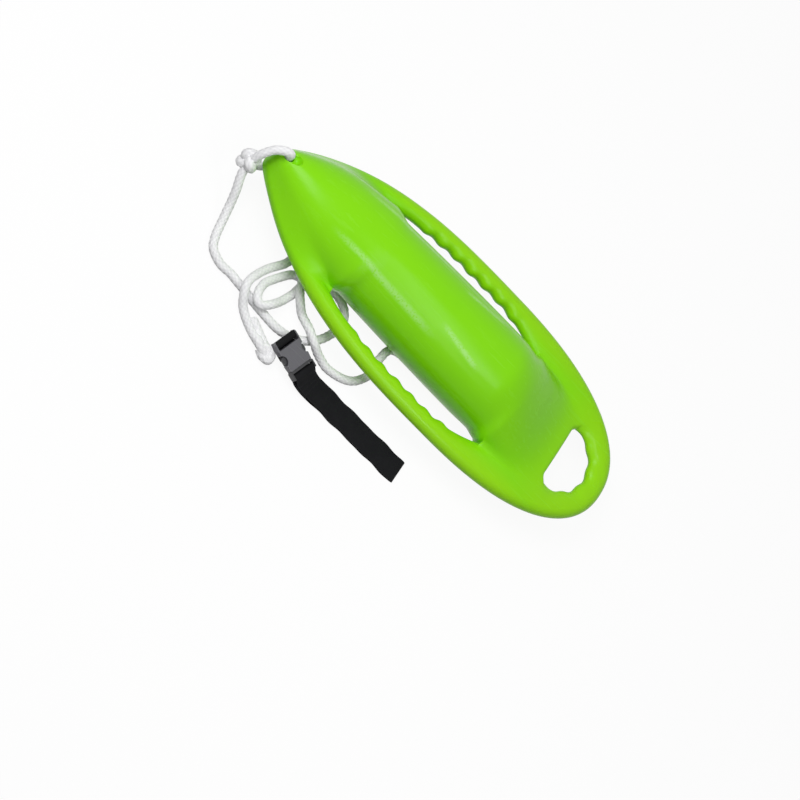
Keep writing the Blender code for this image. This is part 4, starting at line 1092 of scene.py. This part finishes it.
STRAND_RIGHT = [
    (77, 166, 13), (83, 171, 19.5), (93, 174, 21), (102, 180, 20.6), (110, 190, 17),
    (117, 203, 11), (124, 214, 14.5), (131, 223, 20), (137, 232, 21), (142, 242, 20.8),
    (145, 252, 16), (147, 266, 10), (149, 286), (144, 311), (134, 329),
    (119, 340), (103, 346), (84, 344), (69, 345)]
STRAND_HIDDEN = [
    (56, 347), (47, 353), (42.5, 365), (42, 380), (42, 405),
    (42, 430), (42, 455), (43, 485), (40, 513), (30, 537),
    (14, 553), (-10, 556),
    (-33, 545), (-50, 522), (-58, 495), (-62, 460), (-64, 420),
    (-66, 380), (-66, 340), (-63, 300), (-60, 262), (-56, 225),
    (-49, 192), (-37, 165), (-20, 148), (0, 139), (24, 137),
    (46, 141), (62, 141)]
OUTER_LOOP = [
    (75, 137), (88, 129, 7), (105, 119, 11), (126, 110, 16.5), (143, 105, 20.4),
    (155, 105.5, 20.6), (166, 112, 17), (175, 122, 10), (183, 135), (190, 148),
    (196, 162, 7), (201, 176, 8.5)]

tow_points = STRAND_DOWN + STRAND_UNDER + INNER_LOOP + STRAND_RIGHT + STRAND_HIDDEN + OUTER_LOOP
tow_course = rest_against(laid_rope(tow_points))
tow_rope = braided("tow_rope_braid", tow_course, BRAID_CROWN, rope_white)
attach(tow_rope, "can")
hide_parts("tow_rope")


# Belt knot: the tow rope's far end, tied off beside the buckle with an overhand knot. The end
# that is left over lies back along the rope, sealed with heat so that it can't fray.
BUCKLE_ORIGIN = (0.173, 0.195)
BUCKLE_TURN = math.radians(-16.1)
BELT_KNOT = (204, 190, 9.6)
BELT_KNOT_SPREAD = (0.0021, 0.0066, 0.0017)
ROPE_END = [(202, 189, 12), (195, 182, 8.5), (189, 171, 6.9), (183.5, 159.5, 6.9), (177, 146, 6.9)]
SEALED_TIP = 0.55
SEALED_GROWTH = 0.15
belt_knot = braided("belt_knot_rope", knot_course(BELT_KNOT, BELT_KNOT_SPREAD,
                                                  Euler((0, 0, BUCKLE_TURN)).to_matrix()),
                    KNOT_ROPE, rope_white)
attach(belt_knot, "can")
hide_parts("belt_knot")
end_course = laid_rope(ROPE_END)
end_shape = np.minimum(1.0, SEALED_TIP + SEALED_GROWTH * np.arange(len(end_course))[::-1, None])
rope_end = braided("rope_sealed_end", end_course, BRAID_CROWN * end_shape, rope_white)
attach(rope_end, "can")
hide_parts("tow_rope")


# Buckle: a side-release buckle of glossy black acetal, moulded in two halves. The housing holds
# the webbing's near end on its bar; the insert has a guide tongue and two sprung latch arms.
# Painted sheen: the housing's black acetal is painted grey, lighter than the insert, for the light its
# gloss reflects
ACETAL = (0.060, 0.058, 0.070)
ACETAL_FINISH = (0.26, 0.5)
ACETAL_PAINTED_SHEEN_TINTS = ((0.075, 0.073, 0.085), (0.130, 0.127, 0.143))
ACETAL_SKIN = {"Peel Size": 1500.0, "Rubbing": 0.9}
# Painted shade: the insert and its latch arms are painted darker than the housing, for the shade in the
# housing's windows round the arms
INSERT_ACETAL_PAINTED_SHADE = (0.020, 0.020, 0.024)
INSERT_FINISH = (0.34, 0.5)
INSERT_PAINTED_SHADE_TINTS = ((0.014, 0.014, 0.017), (0.030, 0.030, 0.034))
INSERT_SKIN = {"Peel Size": 1500.0}
ACETAL_PEEL = (0.25, 0.0002)
acetal = small_moulding("buckle_acetal_painted_sheen", ACETAL, ACETAL_FINISH, ACETAL_PAINTED_SHEEN_TINTS, ACETAL_SKIN, ACETAL_PEEL)
insert_painted_shade = small_moulding("insert_acetal_painted_shade", INSERT_ACETAL_PAINTED_SHADE, INSERT_FINISH, INSERT_PAINTED_SHADE_TINTS,
                              INSERT_SKIN, ACETAL_PEEL)
nodes["buckle_housing"].material_slots[0].material = acetal
for name in ("buckle_insert", "latch_arm_left", "latch_arm_right"):
    nodes[name].material_slots[0].material = insert_painted_shade


# Belt: one length of black polypropylene webbing, thirty-nine millimetres wide. Each end goes
# round a bar of the buckle and is sewn back on itself, so that the belt lies as a flat double loop.
BELT_WIDTH = 0.0390
BELT_THICK = 0.0015
BELT_STEP = 0.0016
BELT_COLUMNS = 26
BELT_SHARP_ANGLE = 50
BELT_TURN_START = 0.070
BELT_TURN_LENGTH = 0.036
BELT_CENTRE_X = 0.1875
BELT_CENTRE_AFTER = 0.060

# The webbing's slight side waves: how wide, how soon they are full, then each wave's rate along
# it, its start and its share
BELT_WAVE = 0.0006
BELT_WAVE_AFTER = 0.030
BELT_WAVES = ((105, 0, 1.0), (171, 1, 0.7))

# Weave and stitching: how far apart the ribs, picks and stitches lie, and where thread rows are
RIB_PITCH = 0.0022
PICK_PITCH = 0.0017
STITCH_PITCH = 0.0030
STITCH_HALF_WIDTH = 0.0007
STITCH_HEIGHT = 2.5
STITCH_ROWS = (0.091, 0.084, 0.077)
BELT_BLACK = (0.007, 0.007, 0.008)
BELT_TINTS = ((0.003, 0.003, 0.004), (0.013, 0.013, 0.015))
BELT_RELIEF = (0.5, 0.0003)
BELT_FIBRES = 1400.0
FIBRES_ON_WEAVE = 0.6
BELT_ROUTE = [
    (30, 14.05), (20, 14.05), (12, 14.1), (6, 15.2), (2.6, 17.6), (1.7, 20.6), (2.2, 24.0),
    (4.6, 26.3), (8.4, 26.0), (11.0, 23.4), (11.7, 20.2), (12.2, 17.9), (13.2, 16.5),
    (15.7, 15.9), (30, 15.9), (54, 15.9), (66, 13.5), (80, 8.6), (100, 3.6), (125, 1.4),
    (160, 1.1), (200, 1.1), (240, 1.1), (268, 1.1), (277, 1.4), (281, 3.1), (277, 4.9),
    (268, 5.2), (240, 4.6), (200, 4.4), (160, 4.5), (130, 4.9), (108, 7.8), (90, 12.0),
    (78, 16.6), (70, 21.0), (65.8, 24.4), (61.8, 26.0), (58.0, 25.2), (56.3, 22.4),
    (56.5, 19.4), (58.6, 17.4), (63, 16.9), (72, 14.6), (82, 10.9), (94, 8.0)]


def attribute_waves(value, pitch):
    return math_node("SINE", math_node("MULTIPLY", value, 2 * math.pi / pitch))


def buckle_place(across, along, height):
    """A place given across and along the buckle from the middle of its nose end."""
    turn = Matrix.Rotation(BUCKLE_TURN, 3, "Z")
    corner = Vector((BUCKLE_ORIGIN[0], BUCKLE_ORIGIN[1] - CAN_LENGTH / 2, 0))
    return corner + turn @ Vector((across, along, 0)) + Vector((0, 0, height))


def belt_crossing(spot):
    """Middle and sideways direction of the belt at a distance along it and a height."""
    beyond = max(spot.y - BELT_TURN_START, 0.0)
    middle = buckle_place(0, min(spot.y, BELT_TURN_START), 0) + Vector((0, beyond, 0))
    middle.x = lerp(middle.x, BELT_CENTRE_X, smooth(beyond / BELT_CENTRE_AFTER))
    wave = sum(share * math.sin(beyond * rate + start) for rate, start, share in BELT_WAVES)
    middle.x += BELT_WAVE * wave * smooth(beyond / BELT_WAVE_AFTER)
    middle.z = spot.z
    sideways = Vector((math.cos(BUCKLE_TURN), math.sin(BUCKLE_TURN), 0))
    return middle, sideways.lerp(Vector((1, 0, 0)), smooth(beyond / BELT_TURN_LENGTH)).normalized()


belt_course = smooth_course([Vector((0, t / 1000, z / 1000)) for t, z in BELT_ROUTE], BELT_STEP)
belt_mesh = bpy.data.meshes.new("belt")
belt_sheet = bmesh.new()
across_layer = belt_sheet.verts.layers.float.new("across")
along_layer = belt_sheet.verts.layers.float.new("along")
belt_rows = []
run = 0.0
for k, spot in enumerate(belt_course):
    run += (spot - belt_course[k - 1]).length if k else 0.0
    middle, sideways = belt_crossing(spot)
    belt_rows.append([])
    for column in range(BELT_COLUMNS + 1):
        off_middle = (column / BELT_COLUMNS - 0.5) * BELT_WIDTH
        place = belt_sheet.verts.new(middle + sideways * off_middle)
        place[across_layer] = off_middle
        place[along_layer] = run
        belt_rows[-1].append(place)
for before, after in zip(belt_rows, belt_rows[1:]):
    for column in range(BELT_COLUMNS):
        belt_sheet.faces.new((before[column + 1], before[column], after[column], after[column + 1]))
belt_sheet.to_mesh(belt_mesh)
belt_sheet.free()

belt_black, belt_shader = finish_of("webbing_black", BELT_BLACK, 0.72, 0.12)
filled(belt_shader, {"Sheen Weight": 0.02, "Sheen Roughness": 0.4})
belt_across, belt_along = (attribute_of(belt_shader, name) for name in ("across", "along"))
weave = math_node("MULTIPLY_ADD", math_node("MULTIPLY", attribute_waves(belt_across, RIB_PITCH),
                                            attribute_waves(belt_along, PICK_PITCH)), 0.5, 0.5)
belt_fuzz = placed(belt_shader.id_data, "Group", {"Fineness": BELT_FIBRES}, node_tree=fuzz).outputs

# Rows of thread through the layers where the belt's end is sewn back under itself
thread = math_node("MAXIMUM", attribute_waves(belt_across, STITCH_PITCH), 0.0)
stitches = 0.0
for station in STITCH_ROWS:
    at = next(k for k in range(len(belt_course) // 2, len(belt_course)) if belt_course[k].y < station)
    sewn_at = course_length(belt_course[:at + 1])
    off_row = math_node("ABSOLUTE", math_node("SUBTRACT", belt_along, sewn_at))
    row = math_node("MULTIPLY", math_node("LESS_THAN", off_row, STITCH_HALF_WIDTH), thread)
    stitches = math_node("MAXIMUM", row, stitches)
belt_tone = math_node("MULTIPLY", weave, belt_fuzz["Shade"], clamp=True)
link(tint_between(*BELT_TINTS, math_node("ADD", belt_tone, stitches, clamp=True)),
     belt_shader.inputs["Base Color"])
belt_height = math_node("MULTIPLY_ADD", belt_fuzz["Height"], FIBRES_ON_WEAVE, weave)
bump_of(math_node("MULTIPLY_ADD", stitches, STITCH_HEIGHT, belt_height), *BELT_RELIEF, belt_shader)

belt = in_the_scene("belt", belt_mesh, belt_black)
belt_thickness = belt.modifiers.new("thickness", "SOLIDIFY")
belt_thickness.thickness = BELT_THICK
belt_thickness.offset = 0.0
settled_mesh(belt)
shaded_smooth(belt.data, BELT_SHARP_ANGLE)
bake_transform(belt)
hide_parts("belt_webbing")
